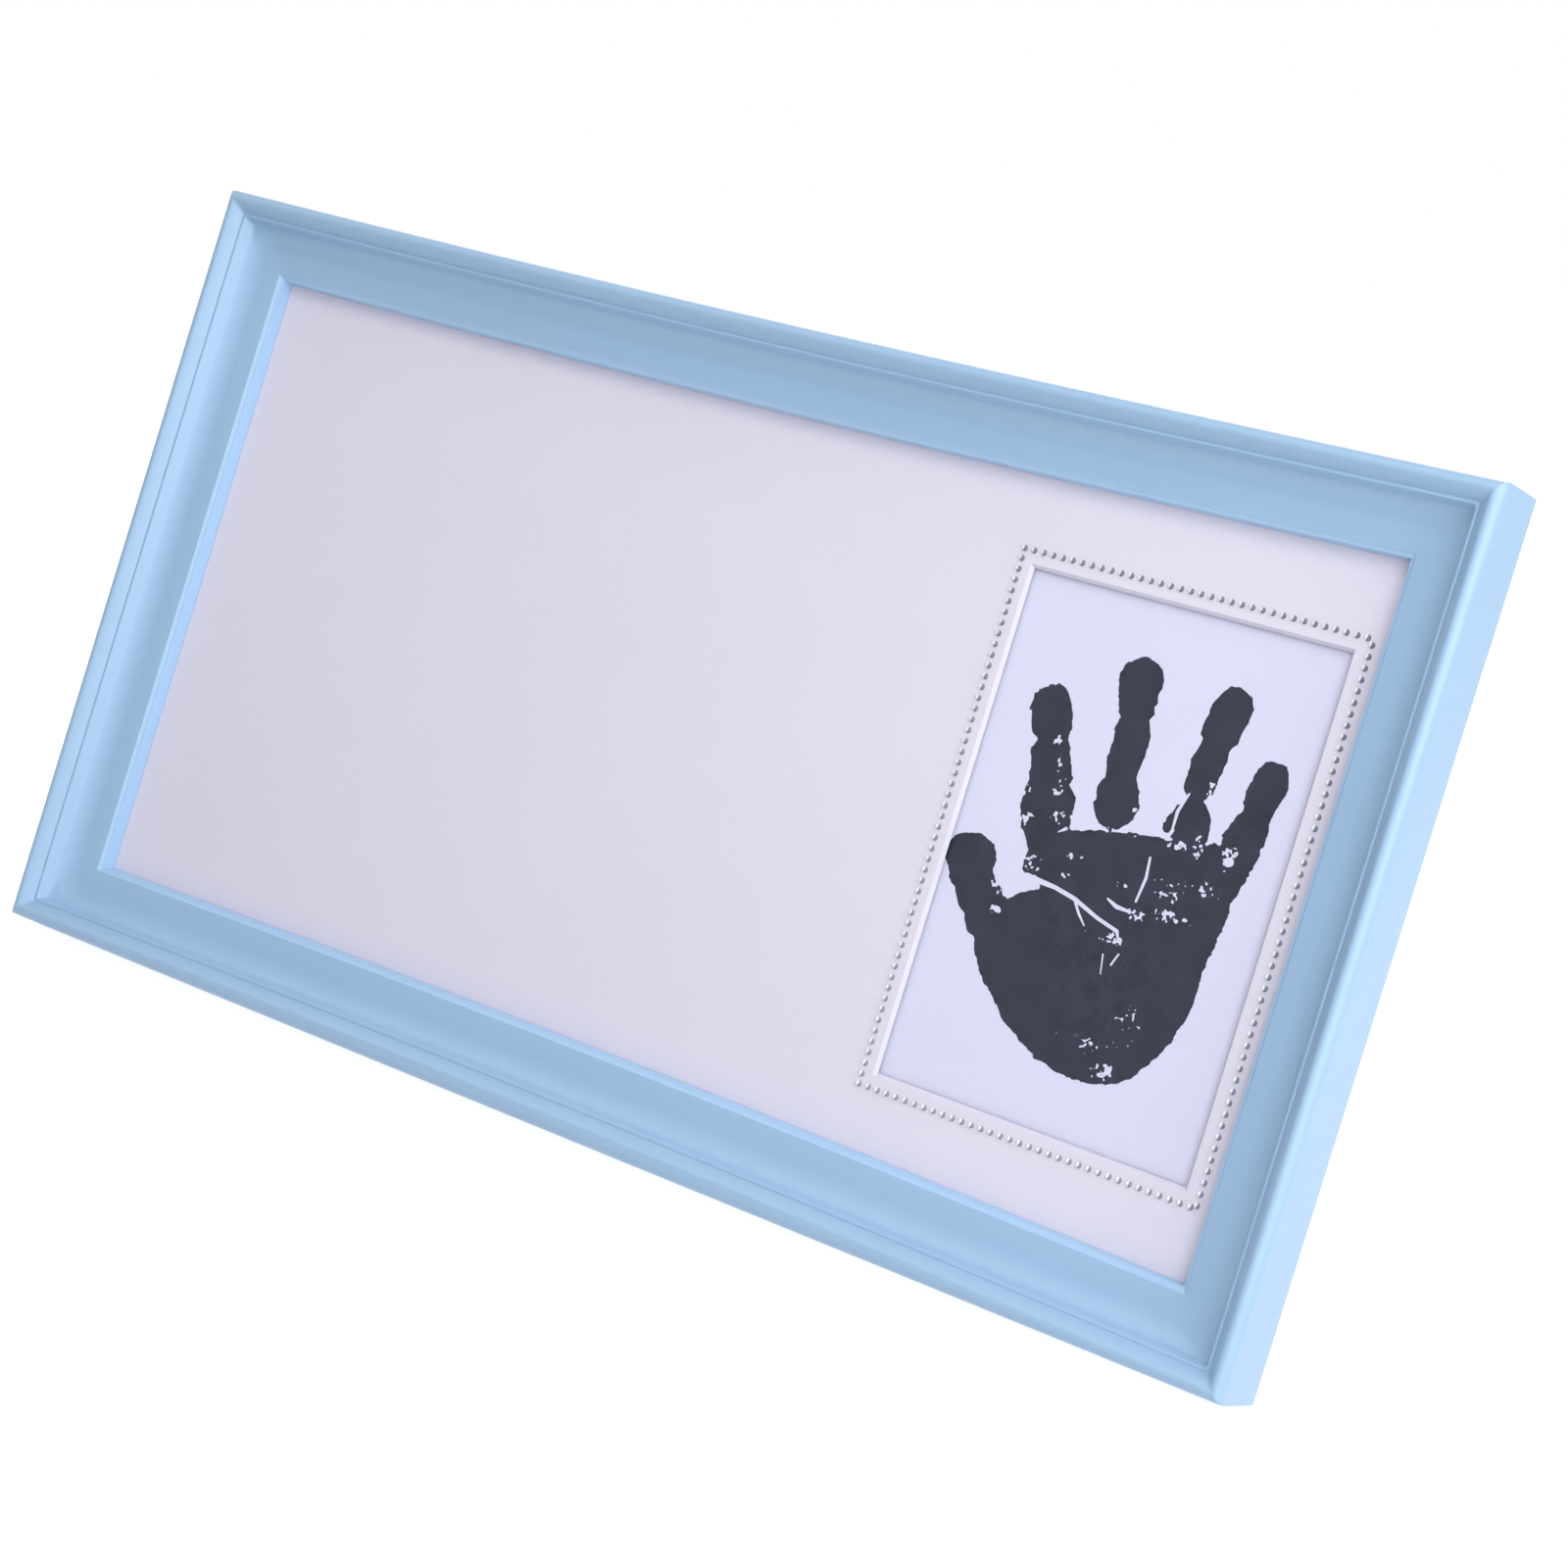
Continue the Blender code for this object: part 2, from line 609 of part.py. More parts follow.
def button_outline():
    """A long drop: a round end at the pivot and a smaller one at the tip, joined by tangents."""
    lean = math.asin((BUTTON_PIVOT_RADIUS - BUTTON_TIP_RADIUS) / BUTTON_REACH)
    side = math.pi / 2 - lean
    tip_centre = (0.0, BUTTON_REACH)
    tip_arc = (math.pi / 2 - side, math.pi / 2 + side)
    heel_arc = (math.pi / 2 + side, 2.5 * math.pi - side)
    tip = arc_points(tip_centre, BUTTON_TIP_RADIUS, *tip_arc, BUTTON_TIP_STEPS)
    heel = arc_points((0.0, 0.0), BUTTON_PIVOT_RADIUS, *heel_arc, BUTTON_HEEL_STEPS)
    return tip + heel


def button_mesh(name):
    hole = circle_points((0.0, 0.0), SCREW_SHANK_RADIUS + SHANK_CLEARANCE, SHANK_SIDES)
    bm = outline_bmesh(name, [button_outline(), hole], BUTTON_THICKNESS)
    bmesh.ops.translate(bm, vec=(0.0, 0.0, -SEAT_GAP - BUTTON_THICKNESS / 2), verts=bm.verts)
    return mesh_from_bmesh(name, bm, SMOOTH_ANGLE)


def fastener_profile(shank_radius, shank_top, head_radius, head_under, head_height):
    """A domed fastener, its shank up and its head down, as (radius, height) down the outside."""
    head_radii = (head_radius, head_height)
    dome = arc_points((0.0, head_under), head_radii, 0.0, -math.pi / 2, DOME_STEPS)
    tip = shank_radius * SHANK_TIP_SHARE
    return [
        (0.0, shank_top),
        (tip, shank_top),
        (shank_radius, shank_top - (shank_radius - tip)),
        (shank_radius, head_under),
    ] + dome


def drill(builder, name, rail, pose, place, radius, depth):
    """A round blind hole in the back of a rail."""
    length = depth + SEAT_GAP
    bore = cylinder_mesh(name, radius, length, SHANK_SIDES, (0.0, 0.0, length / 2 - SEAT_GAP))
    cut(rail, builder.cutter(name, bore, pose, (place[0], place[1], 0.0)))


def button_places():
    """Each turn button's rail, pivot and turn. Its tongue points at the middle of the frame."""
    x_in = HALF_WIDTH - BUTTON_INSET
    y_in = HALF_HEIGHT - BUTTON_INSET
    x_along = HALF_WIDTH - BUTTON_FROM_SIDE
    y_along = HALF_HEIGHT - BUTTON_FROM_END
    return {
        "top_left": ("top_rail", -x_along, y_in, math.pi),
        "top_right": ("top_rail", x_along, y_in, math.pi),
        "bottom_left": ("bottom_rail", -x_along, -y_in, 0.0),
        "bottom_right": ("bottom_rail", x_along, -y_in, 0.0),
        "left_upper": ("left_rail", -x_in, y_along, -math.pi / 2),
        "left_lower": ("left_rail", -x_in, -y_along, -math.pi / 2),
        "right_upper": ("right_rail", x_in, y_along, math.pi / 2),
        "right_lower": ("right_rail", x_in, -y_along, math.pi / 2),
    }


def build_turn_buttons(builder, materials, rails, pose):
    head_under = -SEAT_GAP - BUTTON_THICKNESS - HEAD_CLEARANCE
    profile = fastener_profile(
        SCREW_SHANK_RADIUS, SCREW_SHANK_DEPTH, SCREW_HEAD_RADIUS, head_under, SCREW_HEAD_HEIGHT
    )
    for place, (rail, x, y, turn) in button_places().items():
        name = "turn_button_" + place
        button = button_mesh(name)
        builder.node(name, button, materials["brass"], pose, (x, y, 0.0), (0.0, 0.0, turn))
        builder.turned("button_screw_" + place, profile, materials["steel"], pose, (x, y, 0.0))
        radius = SCREW_SHANK_RADIUS + SHANK_CLEARANCE
        depth = SCREW_SHANK_DEPTH + SEAT_GAP
        drill(builder, "screw_hole_" + place, rails[rail], pose, (x, y), radius, depth)


def hanger_outline():
    """A strip with plain ends and a row of teeth along the edge that rests on the wall hook."""
    half_length = HANGER_LENGTH / 2
    half_height = HANGER_HEIGHT / 2
    pitch = HANGER_RAISED_LENGTH / HANGER_TEETH
    teeth = []
    for i in range(HANGER_TEETH):
        left = -HANGER_RAISED_LENGTH / 2 + i * pitch
        teeth.append((left, -half_height))
        teeth.append((left + pitch / 2, -half_height + TOOTH_DEPTH))
    teeth.append((HANGER_RAISED_LENGTH / 2, -half_height))
    end_x = half_length - half_height
    quarter = math.pi / 2
    right = arc_points((end_x, 0.0), half_height, -quarter, quarter, HANGER_END_STEPS)
    left = arc_points((-end_x, 0.0), half_height, quarter, 3 * quarter, HANGER_END_STEPS)
    return teeth + right + left


def hanger_mesh(name):
    """The strip, its middle stepped away from the rail so that a hook fits behind it."""
    holes = [
        circle_points((side * HANGER_NAIL_X, 0.0), NAIL_SHANK_RADIUS + SHANK_CLEARANCE, SHANK_SIDES)
        for side in (-1, 1)
    ]
    bm = outline_bmesh(name, [hanger_outline()] + holes, HANGER_THICKNESS)
    inner = HANGER_RAISED_LENGTH / 2
    outer = inner + HANGER_RAMP
    slice_bmesh(bm, 0, [-outer, -inner, inner, outer])
    for vert in bm.verts:
        climb = (outer - abs(vert.co.x)) / HANGER_RAMP
        vert.co.z -= HANGER_RAISE * min(max(climb, 0.0), 1.0)
    bmesh.ops.translate(bm, vec=(0.0, 0.0, -SEAT_GAP - HANGER_THICKNESS / 2), verts=bm.verts)
    return mesh_from_bmesh(name, bm)


def build_hangers(builder, materials, rails, pose):
    y = HALF_HEIGHT - HANGER_INSET
    head_under = -SEAT_GAP - HANGER_THICKNESS - HEAD_CLEARANCE
    profile = fastener_profile(
        NAIL_SHANK_RADIUS, NAIL_SHANK_DEPTH, NAIL_HEAD_RADIUS, head_under, NAIL_HEAD_HEIGHT
    )
    for side, sign in (("left", -1), ("right", 1)):
        name = "sawtooth_hanger_" + side
        x = sign * (HALF_WIDTH - HANGER_FROM_SIDE)
        builder.node(name, hanger_mesh(name), materials["steel"], pose, (x, y, 0.0))
        for number, nail_sign in ((1, -1), (2, 1)):
            nail_x = x + nail_sign * HANGER_NAIL_X
            nail_name = f"hanger_nail_{side}_{number}"
            builder.turned(nail_name, profile, materials["steel"], pose, (nail_x, y, 0.0))
            radius = NAIL_SHANK_RADIUS + SHANK_CLEARANCE
            depth = NAIL_SHANK_DEPTH + SEAT_GAP
            drill(builder, nail_name + "_hole", rails["top_rail"], pose, (nail_x, y), radius, depth)


def leaf_outline():
    """A hinge leaf seen from its end: a plate whose edge rolls round the pin at the origin."""
    start = math.pi / 2
    end = 2 * math.pi + ROLL_END_ANGLE
    outer = arc_points((0.0, 0.0), KNUCKLE_OUTER, start, end, KNUCKLE_STEPS)
    inner = arc_points((0.0, 0.0), KNUCKLE_INNER, end, start, KNUCKLE_STEPS)
    return [(LEAF_LENGTH, KNUCKLE_OUTER)] + outer + inner + [(LEAF_LENGTH, KNUCKLE_INNER)]


def leaf_mesh(name):
    """The leaf along x, its plate towards +y and lying on the +z side of the pin."""
    bm = outline_bmesh(name, [leaf_outline()], HINGE_WIDTH)
    for vert in bm.verts:
        vert.co = (vert.co.z, vert.co.x, vert.co.y)
    return mesh_from_bmesh(name, bm, SMOOTH_ANGLE)


def rivet_places():
    return [("left", -RIVET_X), ("right", RIVET_X)]


def cut_rivet_holes(builder, obj, parent, y):
    """Two through holes for rivets, wide enough for any plate in the hinge's stack."""
    depth = 4 * AXIS_STANDOFF + 2 * (BOARD_THICKNESS + STRUT_THICKNESS)
    for side, x in rivet_places():
        name = f"{obj.name}_rivet_hole_{side}"
        bore = cylinder_mesh(name, RIVET_SHANK_RADIUS + SHANK_CLEARANCE, depth, SHANK_SIDES)
        cut(obj, builder.cutter(name, bore, parent, (x, y, 0.0)))


def build_board(builder, materials, pose):
    """The back board, and the hinge leaf that two rivets hold to it."""
    board = box_mesh("back_board", (SHEET_WIDTH, SHEET_HEIGHT, BOARD_THICKNESS))
    place = (0.0, 0.0, BOARD_THICKNESS / 2)
    back_board = builder.node("back_board", board, materials["board"], pose, place)
    leaf_place = (0.0, HINGE_Y, -AXIS_STANDOFF)
    board_leaf = leaf_mesh("hinge_leaf_board")
    leaf = builder.node("hinge_leaf_board", board_leaf, materials["steel"], pose, leaf_place)
    notch_size = (
        HINGE_MIDDLE_KNUCKLE + 2 * KNUCKLE_GAP,
        2 * (KNUCKLE_OUTER + KNUCKLE_GAP),
        4 * AXIS_STANDOFF,
    )
    notch = box_mesh("hinge_leaf_board_notch", notch_size)
    cut(leaf, builder.cutter("hinge_leaf_board_notch", notch, pose, leaf_place))
    rivet_y = HINGE_Y + RIVET_SETBACK
    cut_rivet_holes(builder, back_board, pose, rivet_y)
    cut_rivet_holes(builder, leaf, pose, rivet_y)
    head_under = -SEAT_GAP - LEAF_THICKNESS - HEAD_CLEARANCE
    shank_top = BOARD_THICKNESS - SEAT_GAP
    profile = fastener_profile(
        RIVET_SHANK_RADIUS, shank_top, RIVET_HEAD_RADIUS, head_under, RIVET_HEAD_HEIGHT
    )
    for side, x in rivet_places():
        builder.turned("board_rivet_" + side, profile, materials["steel"], pose, (x, rivet_y, 0.0))
    pin_turn = Matrix.Rotation(math.pi / 2, 3, "Y")
    pin = cylinder_mesh(
        "hinge_pin", PIN_RADIUS, HINGE_WIDTH + 2 * PIN_OVERHANG, KNUCKLE_STEPS, turn=pin_turn
    )
    builder.node("hinge_pin", pin, materials["steel"], pose, leaf_place)


def strut_outline(foot_y):
    """The strut with its shoulders either side of the hinge, and a foot wider than its top."""
    notch_x = HINGE_WIDTH / 2 + PIN_OVERHANG + STRUT_NOTCH_GAP
    notch_y = -(KNUCKLE_OUTER + STRUT_CLOSED_GAP)
    shoulder = (STRUT_SHOULDER_WIDTH / 2, STRUT_HEEL)
    foot = (STRUT_FOOT_WIDTH / 2, foot_y)
    right = rounded_corner((notch_x, STRUT_HEEL), shoulder, foot, STRUT_CORNER_RADIUS)
    half = [(notch_x, notch_y), (notch_x, STRUT_HEEL)] + right + [foot]
    mirrored = [(-x, y) for x, y in reversed(half)]
    return half + mirrored


def strut_mesh():
    """The strut in its closed place: the board on its +z side, the hinge pin along x."""
    inner = AXIS_STANDOFF - STRUT_CLOSED_GAP
    swing = OPEN_ANGLE - LEAN_ANGLE
    axis_height = (HALF_HEIGHT + HINGE_Y) * math.cos(LEAN_ANGLE) - AXIS_STANDOFF * math.sin(LEAN_ANGLE)
    down = Vector((0.0, -math.cos(swing), math.sin(swing)))
    overrun = axis_height / math.cos(swing) + STRUT_THICKNESS
    bm = outline_bmesh("easel_strut", [strut_outline(-overrun)], STRUT_THICKNESS)
    bmesh.ops.translate(bm, vec=(0.0, 0.0, inner - STRUT_THICKNESS / 2), verts=bm.verts)
    trim_bmesh(bm, down * axis_height, down)
    to_board = Vector((0.0, math.sin(OPEN_ANGLE), math.cos(OPEN_ANGLE)))
    trim_bmesh(bm, to_board * (AXIS_STANDOFF - SEAT_GAP), to_board)
    return mesh_from_bmesh("easel_strut", bm)


def build_strut(builder, materials, pose):
    """The strut, its hinge leaf and rivets, turned about the pin until the heel meets the board."""
    hinge = builder.empty("easel_hinge", (0.0, HINGE_Y, -AXIS_STANDOFF), OPEN_ANGLE, pose)
    strut = builder.node("easel_strut", strut_mesh(), materials["board"], hinge)
    turned_over = (math.pi, 0.0, 0.0)
    strut_leaf = leaf_mesh("hinge_leaf_strut")
    leaf = builder.node(
        "hinge_leaf_strut", strut_leaf, materials["steel"], hinge, rotation=turned_over
    )
    side_width = (HINGE_WIDTH - HINGE_MIDDLE_KNUCKLE) / 2 + KNUCKLE_GAP
    notch_size = (side_width, 2 * (KNUCKLE_OUTER + KNUCKLE_GAP), 4 * AXIS_STANDOFF)
    notch_x = HINGE_MIDDLE_KNUCKLE / 2 + side_width / 2
    for side, sign in (("left", -1), ("right", 1)):
        name = "hinge_leaf_strut_notch_" + side
        cut(leaf, builder.cutter(name, box_mesh(name, notch_size), hinge, (sign * notch_x, 0.0, 0.0)))
    cut_rivet_holes(builder, strut, hinge, -RIVET_SETBACK)
    cut_rivet_holes(builder, leaf, hinge, -RIVET_SETBACK)
    strut_inner = AXIS_STANDOFF - STRUT_CLOSED_GAP
    profile = fastener_profile(
        RIVET_SHANK_RADIUS,
        strut_inner - SEAT_GAP,
        RIVET_HEAD_RADIUS,
        -KNUCKLE_OUTER - HEAD_CLEARANCE,
        RIVET_HEAD_HEIGHT,
    )
    for side, x in rivet_places():
        place = (x, -RIVET_SETBACK, 0.0)
        builder.turned("strut_rivet_" + side, profile, materials["steel"], hinge, place)


def pose_location():
    """Puts the frame's lower back edge on the table and the middle of its depth over the origin."""
    sine, cosine = math.sin(LEAN_ANGLE), math.cos(LEAN_ANGLE)
    swing = OPEN_ANGLE - LEAN_ANGLE
    axis_y = HINGE_Y * sine + AXIS_STANDOFF * cosine
    axis_height = (HALF_HEIGHT + HINGE_Y) * cosine - AXIS_STANDOFF * sine
    outer_face = STRUT_THICKNESS - (AXIS_STANDOFF - STRUT_CLOSED_GAP)
    foot_back = axis_y + axis_height * math.tan(swing) + outer_face / math.cos(swing)
    front = max(
        (HALF_HEIGHT - inward) * sine + (FRAME_DEPTH - depth) * cosine
        for inward, depth in crown_points()
    )
    return (0.0, (front - foot_back) / 2, HALF_HEIGHT * cosine)


def main():
    clear_scene()
    builder = Builder(new_collection("baby_milestone_photo_frame"), new_collection("cutters"))
    materials = make_materials()
    pose = builder.empty("frame_pose", pose_location(), math.pi / 2 - LEAN_ANGLE)
    rails = build_rails(builder, materials["moulding"], pose)
    build_corner_nails(builder, materials["steel"], rails, pose)
    build_sheets(builder, materials, pose)
    build_bead_strips(builder, materials["pearl"], pose)
    build_board(builder, materials, pose)
    build_turn_buttons(builder, materials, rails, pose)
    build_hangers(builder, materials, rails, pose)
    build_strut(builder, materials, pose)


main()
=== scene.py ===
"""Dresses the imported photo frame: paint, mat, pearls, handprint, metals, floor, lamps and camera."""

import math

import bmesh
import bpy
import numpy as np
from mathutils import Matrix, Vector
from mathutils.geometry import delaunay_2d_cdt


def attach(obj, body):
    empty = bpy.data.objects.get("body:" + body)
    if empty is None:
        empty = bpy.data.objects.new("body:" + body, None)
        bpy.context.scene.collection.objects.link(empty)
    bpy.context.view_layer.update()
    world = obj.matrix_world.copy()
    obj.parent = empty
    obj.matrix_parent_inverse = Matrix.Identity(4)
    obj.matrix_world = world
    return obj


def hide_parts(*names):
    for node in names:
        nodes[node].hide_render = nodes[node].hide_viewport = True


# How the frame stands. Sizes are in metres and angles in radians
LEAN_ANGLE = math.radians(14.0)
RIGHT = Vector((1.0, 0.0, 0.0))
UP = Vector((0.0, math.sin(LEAN_ANGLE), math.cos(LEAN_ANGLE)))
OUT = Vector((0.0, -math.cos(LEAN_ANGLE), math.sin(LEAN_ANGLE)))

# Camera: turned round the frame's middle at its crown, then set back
FOCAL_PIXELS = 3470.5
IMAGE_PIXELS = 1600
SENSOR_WIDTH = 36.0
CAMERA_YAW = math.radians(32.43)
CAMERA_PITCH = math.radians(0.92)
CAMERA_ROLL = math.radians(17.21)
CAMERA_OFFSET = Vector((-0.03393, -0.01711, 0.95882))

# Light: how far the lamps stand, and how strongly the world and the floor glow
LAMP_DISTANCE = 1.2
SOFT_LIGHT = 0.20
FLOOR_GLOW = 0.86

# Moulding section under the paint: widths run inward from the outer edge, depths back from the crown
MOULDING_DEPTH = 0.0152
OUTER_ROUND_WIDTH = 0.0024
OUTER_ROUND_DEPTH = 0.0034
CROWN_RADIUS = 0.0014
RIM_TILT = math.radians(43.0)
RIM_WIDTH = 0.0060
GROOVE_WIDTH = 0.0003
GROOVE_DROP = 0.0007
RIDGE_RADIUS = 0.0004
COVE_WIDTH = 0.0090
COVE_FLOOR_DEPTH = 0.0099
COVE_FLOOR_FALL = 0.0006
LIP_WIDTH = 0.0018
LIP_STEP_WIDTH = 0.0006
LIP_STEP_DROP = 0.0008
LIP_TREAD = 0.0008
LIP_TREAD_FALL = 0.0004
LIP_NOSE = 0.0002
LONG_RAIL_BOW = 0.0019
TOP_EDGE_BOW = 0.0018

# How many steps each curve of the section is drawn in
EDGE_STEPS = 9
CROWN_STEPS = 6
RIDGE_STEPS = 8
WALL_STEPS = 6
BOWL_STEPS = 12
NOSE_STEPS = 4

# The coat of paint, how it lies over the groove, ridge and cove top, and how widely it fills each mitre
COAT = 0.00008
PAINT_IN_GROOVE = 0.0004
PAINTED_RIDGE_RADIUS = 0.0005
COVE_TOP_FILL = math.radians(27.0)
EDGE_FILL = 0.00025
RIDGE_FILL = 0.0010
COVE_FILL = 0.0065
LIP_FILL = 0.0004
MITRE_STEPS = 6
LONG_STEPS = 32
SHORT_STEPS = 8
COAT_SMOOTH_ANGLE = math.radians(30.0)

# Colour of the paint, and how much lighter the lip is painted, as painted light for the highlights on its
# noses
PAINT = (0.309, 0.472, 0.672)
LIP_PAINTED_LIGHT = 1.14

# Window in the mat: its size at the face, its shift to the right, and how far its cut leans in
WINDOW_WIDTH = 0.0985
WINDOW_HEIGHT = 0.1455
WINDOW_SHIFT = -0.0009
WINDOW_CUT = 0.0009

# Pearls, and the direction that their painted highlight faces
BEAD_RADIUS = 0.00086
BEAD_PITCH = 0.00306
BEAD_FILM_WIDTH = 0.00156
BEAD_SEGMENTS = 20
BEAD_RINGS = 12
PEARL_PAINTED_HIGHLIGHT = RIGHT * -0.9 + UP * 0.15 + OUT * 0.4

# Handprint, in millimetres from the middle of the card, and its lift above the card in metres
MM_PER_METRE = 1000.0
INK_STEP = 0.25
INK_BLEND = 1.1
INK_SEED = 7
INK_LIFT = 0.00002

# Waves in the ink's edge, and flecks in its bare patches: strength, width, and which draw they take
EDGE_WAVES = ((0.42, 2.4, 0), (0.24, 0.9, 1), (0.20, 0.5, 4))
BARE_FLECKS = ((0.6, 0.95, 2), (0.4, 0.5, 3))
BARE_LEVEL = 0.95

# Bare wood on the rails' backs: how deep it reaches, and how ragged its edge is
BARE_WOOD_DEPTH = 0.0001
BARE_WOOD_RAGGED = 0.0008

# Floor
FLOOR_HALF_SIZE = 4.0
FLOOR_GAP = 0.0002


def span(node, axis):
    """The least and greatest distance of a CAD node's points along an axis."""
    places = [vert.co.dot(axis) for vert in node.data.vertices]
    return min(places), max(places)


def middle(node, axis):
    low, high = span(node, axis)
    return (low + high) / 2


def half_size(node, axis):
    low, high = span(node, axis)
    return (high - low) / 2


def place(right, up, out):
    """A point in the row frame from its distances along the frame's own three axes."""
    return RIGHT * right + UP * up + OUT * out


class Shader:
    """A material's node tree with short calls to add nodes and join them."""

    def __init__(self, name, roughness, metallic=0.0):
        self.material = bpy.data.materials.new(name)
        self.material.use_nodes = True
        self.tree = self.material.node_tree
        self.surface = self.tree.nodes["Principled BSDF"]
        self.surface.inputs["Roughness"].default_value = roughness
        self.surface.inputs["Metallic"].default_value = metallic
        self.coordinates = self.tree.nodes.new("ShaderNodeTexCoord").outputs["Object"]

    def node(self, kind, **settings):
        made = self.tree.nodes.new(kind)
        for name, value in settings.items():
            setattr(made, name, value)
        return made

    def feed(self, socket, value):
        if isinstance(value, bpy.types.NodeSocket):
            self.tree.links.new(value, socket)
        else:
            socket.default_value = value

    def stretched(self, stretch, tilt=0.0):
        """Object coordinates turned about x and scaled along their axes."""
        mapping = self.node("ShaderNodeMapping")
        self.feed(mapping.inputs["Vector"], self.coordinates)
        mapping.inputs["Rotation"].default_value = (tilt, 0.0, 0.0)
        mapping.inputs["Scale"].default_value = stretch
        return mapping.outputs["Vector"]

    def noise(self, size, detail=3.0, vector=None):
        """Noise from 0 to 1 whose blots are about this many metres across."""
        made = self.node("ShaderNodeTexNoise")
        self.feed(made.inputs["Vector"], vector or self.coordinates)
        made.inputs["Scale"].default_value = 1.0 / size
        made.inputs["Detail"].default_value = detail
        made.inputs["Roughness"].default_value = 0.55
        return made.outputs["Fac"]

    def specks(self, spacing, radius):
        """1 inside small round specks that lie about this far apart, else 0."""
        cells = self.node("ShaderNodeTexVoronoi")
        self.feed(cells.inputs["Vector"], self.coordinates)
        cells.inputs["Scale"].default_value = 1.0 / spacing
        return self.ramp(cells.outputs["Distance"], radius / spacing, 0.6 * radius / spacing)

    def ramp(self, value, low, high, out_low=0.0, out_high=1.0):
        made = self.node("ShaderNodeMapRange")
        self.feed(made.inputs["Value"], value)
        made.inputs["From Min"].default_value = low
        made.inputs["From Max"].default_value = high
        made.inputs["To Min"].default_value = out_low
        made.inputs["To Max"].default_value = out_high
        return made.outputs["Result"]

    def math(self, operation, first, second):
        made = self.node("ShaderNodeMath", operation=operation)
        self.feed(made.inputs[0], first)
        self.feed(made.inputs[1], second)
        return made.outputs["Value"]

    def mix(self, share, first, second):
        made = self.node("ShaderNodeMix", data_type="RGBA")
        self.feed(made.inputs["Factor"], share)
        self.feed(made.inputs["A"], first)
        self.feed(made.inputs["B"], second)
        return made.outputs["Result"]

    def along(self, axis, vector_output):
        """How far a vector reaches along an axis of the row frame."""
        made = self.node("ShaderNodeVectorMath", operation="DOT_PRODUCT")
        self.feed(made.inputs[0], vector_output)
        made.inputs[1].default_value = axis
        return made.outputs["Value"]

    def bump(self, height, depth, normal=None):
        """Raises the surface by up to depth metres where height is 1."""
        made = self.node("ShaderNodeBump")
        self.feed(made.inputs["Height"], height)
        made.inputs["Distance"].default_value = depth
        if normal is not None:
            self.feed(made.inputs["Normal"], normal)
        self.feed(self.surface.inputs["Normal"], made.outputs["Normal"])
        return made.outputs["Normal"]

    def colour(self, value):
        self.feed(self.surface.inputs["Base Color"], value)

    def roughness(self, value):
        self.feed(self.surface.inputs["Roughness"], value)


def shade(colour, factor):
    return (colour[0] * factor, colour[1] * factor, colour[2] * factor, 1.0)


def give(material, *nodes):
    for node in nodes:
        node.data.materials.clear()
        node.data.materials.append(material)


def paint_material(name, tone):
    """Satin sky-blue paint, sprayed on: faint clouds, a fine orange-peel and a few specks of dust."""
    dust_colour = (0.72, 0.80, 0.92, 1.0)
    shader = Shader(name, 0.31)
    clouds = shader.noise(0.035, 2.0)
    mottle = shader.noise(0.004, 3.0)
    peel = shader.noise(0.0009, 2.0)
    painted = shader.mix(clouds, shade(PAINT, 0.97 * tone), shade(PAINT, 1.03 * tone))
    mottled = shader.ramp(mottle, 0.3, 0.7, 0.0, 0.5)
    painted = shader.mix(mottled, painted, shade(PAINT, 1.015 * tone))
    dust = shader.math("MULTIPLY", shader.specks(0.03, 0.00035), shader.ramp(clouds, 0.55, 0.60))
    shader.colour(shader.mix(dust, painted, dust_colour))
    shader.roughness(shader.ramp(clouds, 0.3, 0.7, 0.29, 0.33))
    shader.bump(peel, 0.000008)
    return shader.material


def moulding_material(name, grain, back):
    """The rail under the coat: overspray in its rabbet, and bare wood on its back."""
    bare = (0.52, 0.36, 0.21)
    shader = Shader(name, 0.36)
    clouds = shader.noise(0.035, 2.0)
    streaks = shader.noise(0.0016, 3.0, shader.stretched(grain, LEAN_ANGLE))
    pores = shader.noise(0.0005, 2.0)
    painted = shader.mix(clouds, shade(PAINT, 0.94), shade(PAINT, 1.06))
    painted = shader.mix(shader.ramp(streaks, 0.35, 0.75), painted, shade(PAINT, 1.03))
    wood = shader.mix(shader.ramp(streaks, 0.3, 0.7), shade(bare, 0.78), shade(bare, 1.12))
    depth = shader.along(OUT, shader.coordinates)
    ragged = shader.math("MULTIPLY_ADD", pores, BARE_WOOD_RAGGED)
    ragged.node.inputs[2].default_value = back + BARE_WOOD_DEPTH
    shader.colour(shader.mix(shader.math("GREATER_THAN", depth, ragged), wood, painted))
    shader.roughness(shader.ramp(clouds, 0.3, 0.7, 0.33, 0.42))
    first = shader.bump(streaks, 0.00002)
    shader.bump(pores, 0.00001, first)
    return shader.material


def mat_material():
    """Lilac-white board of fine fibre; its edges and the window's cut take the same colour a little
    darker, as painted shade.
    """
    face = (0.693, 0.668, 0.782)
    painted_shade_core = (0.650, 0.630, 0.735)
    shader = Shader("lilac_mat_board", 0.88)
    fibre = shader.noise(0.0006, 4.0)
    clouds = shader.noise(0.05, 2.0)
    board = shader.mix(fibre, shade(face, 0.97), shade(face, 1.03))
    board = shader.mix(shader.ramp(clouds, 0.35, 0.65), board, shade(face, 1.01))
    facing = shader.along(OUT, shader.node("ShaderNodeNewGeometry").outputs["True Normal"])
    # Painted shade: every face but the front is painted 6% darker than the face colour
    flat = shader.math("GREATER_THAN", facing, 0.9)
    shader.colour(shader.mix(flat, shade(painted_shade_core, 1.0), board))
    shader.roughness(shader.ramp(fibre, 0.3, 0.7, 0.82, 0.92))
    shader.bump(fibre, 0.00003)
    return shader.material


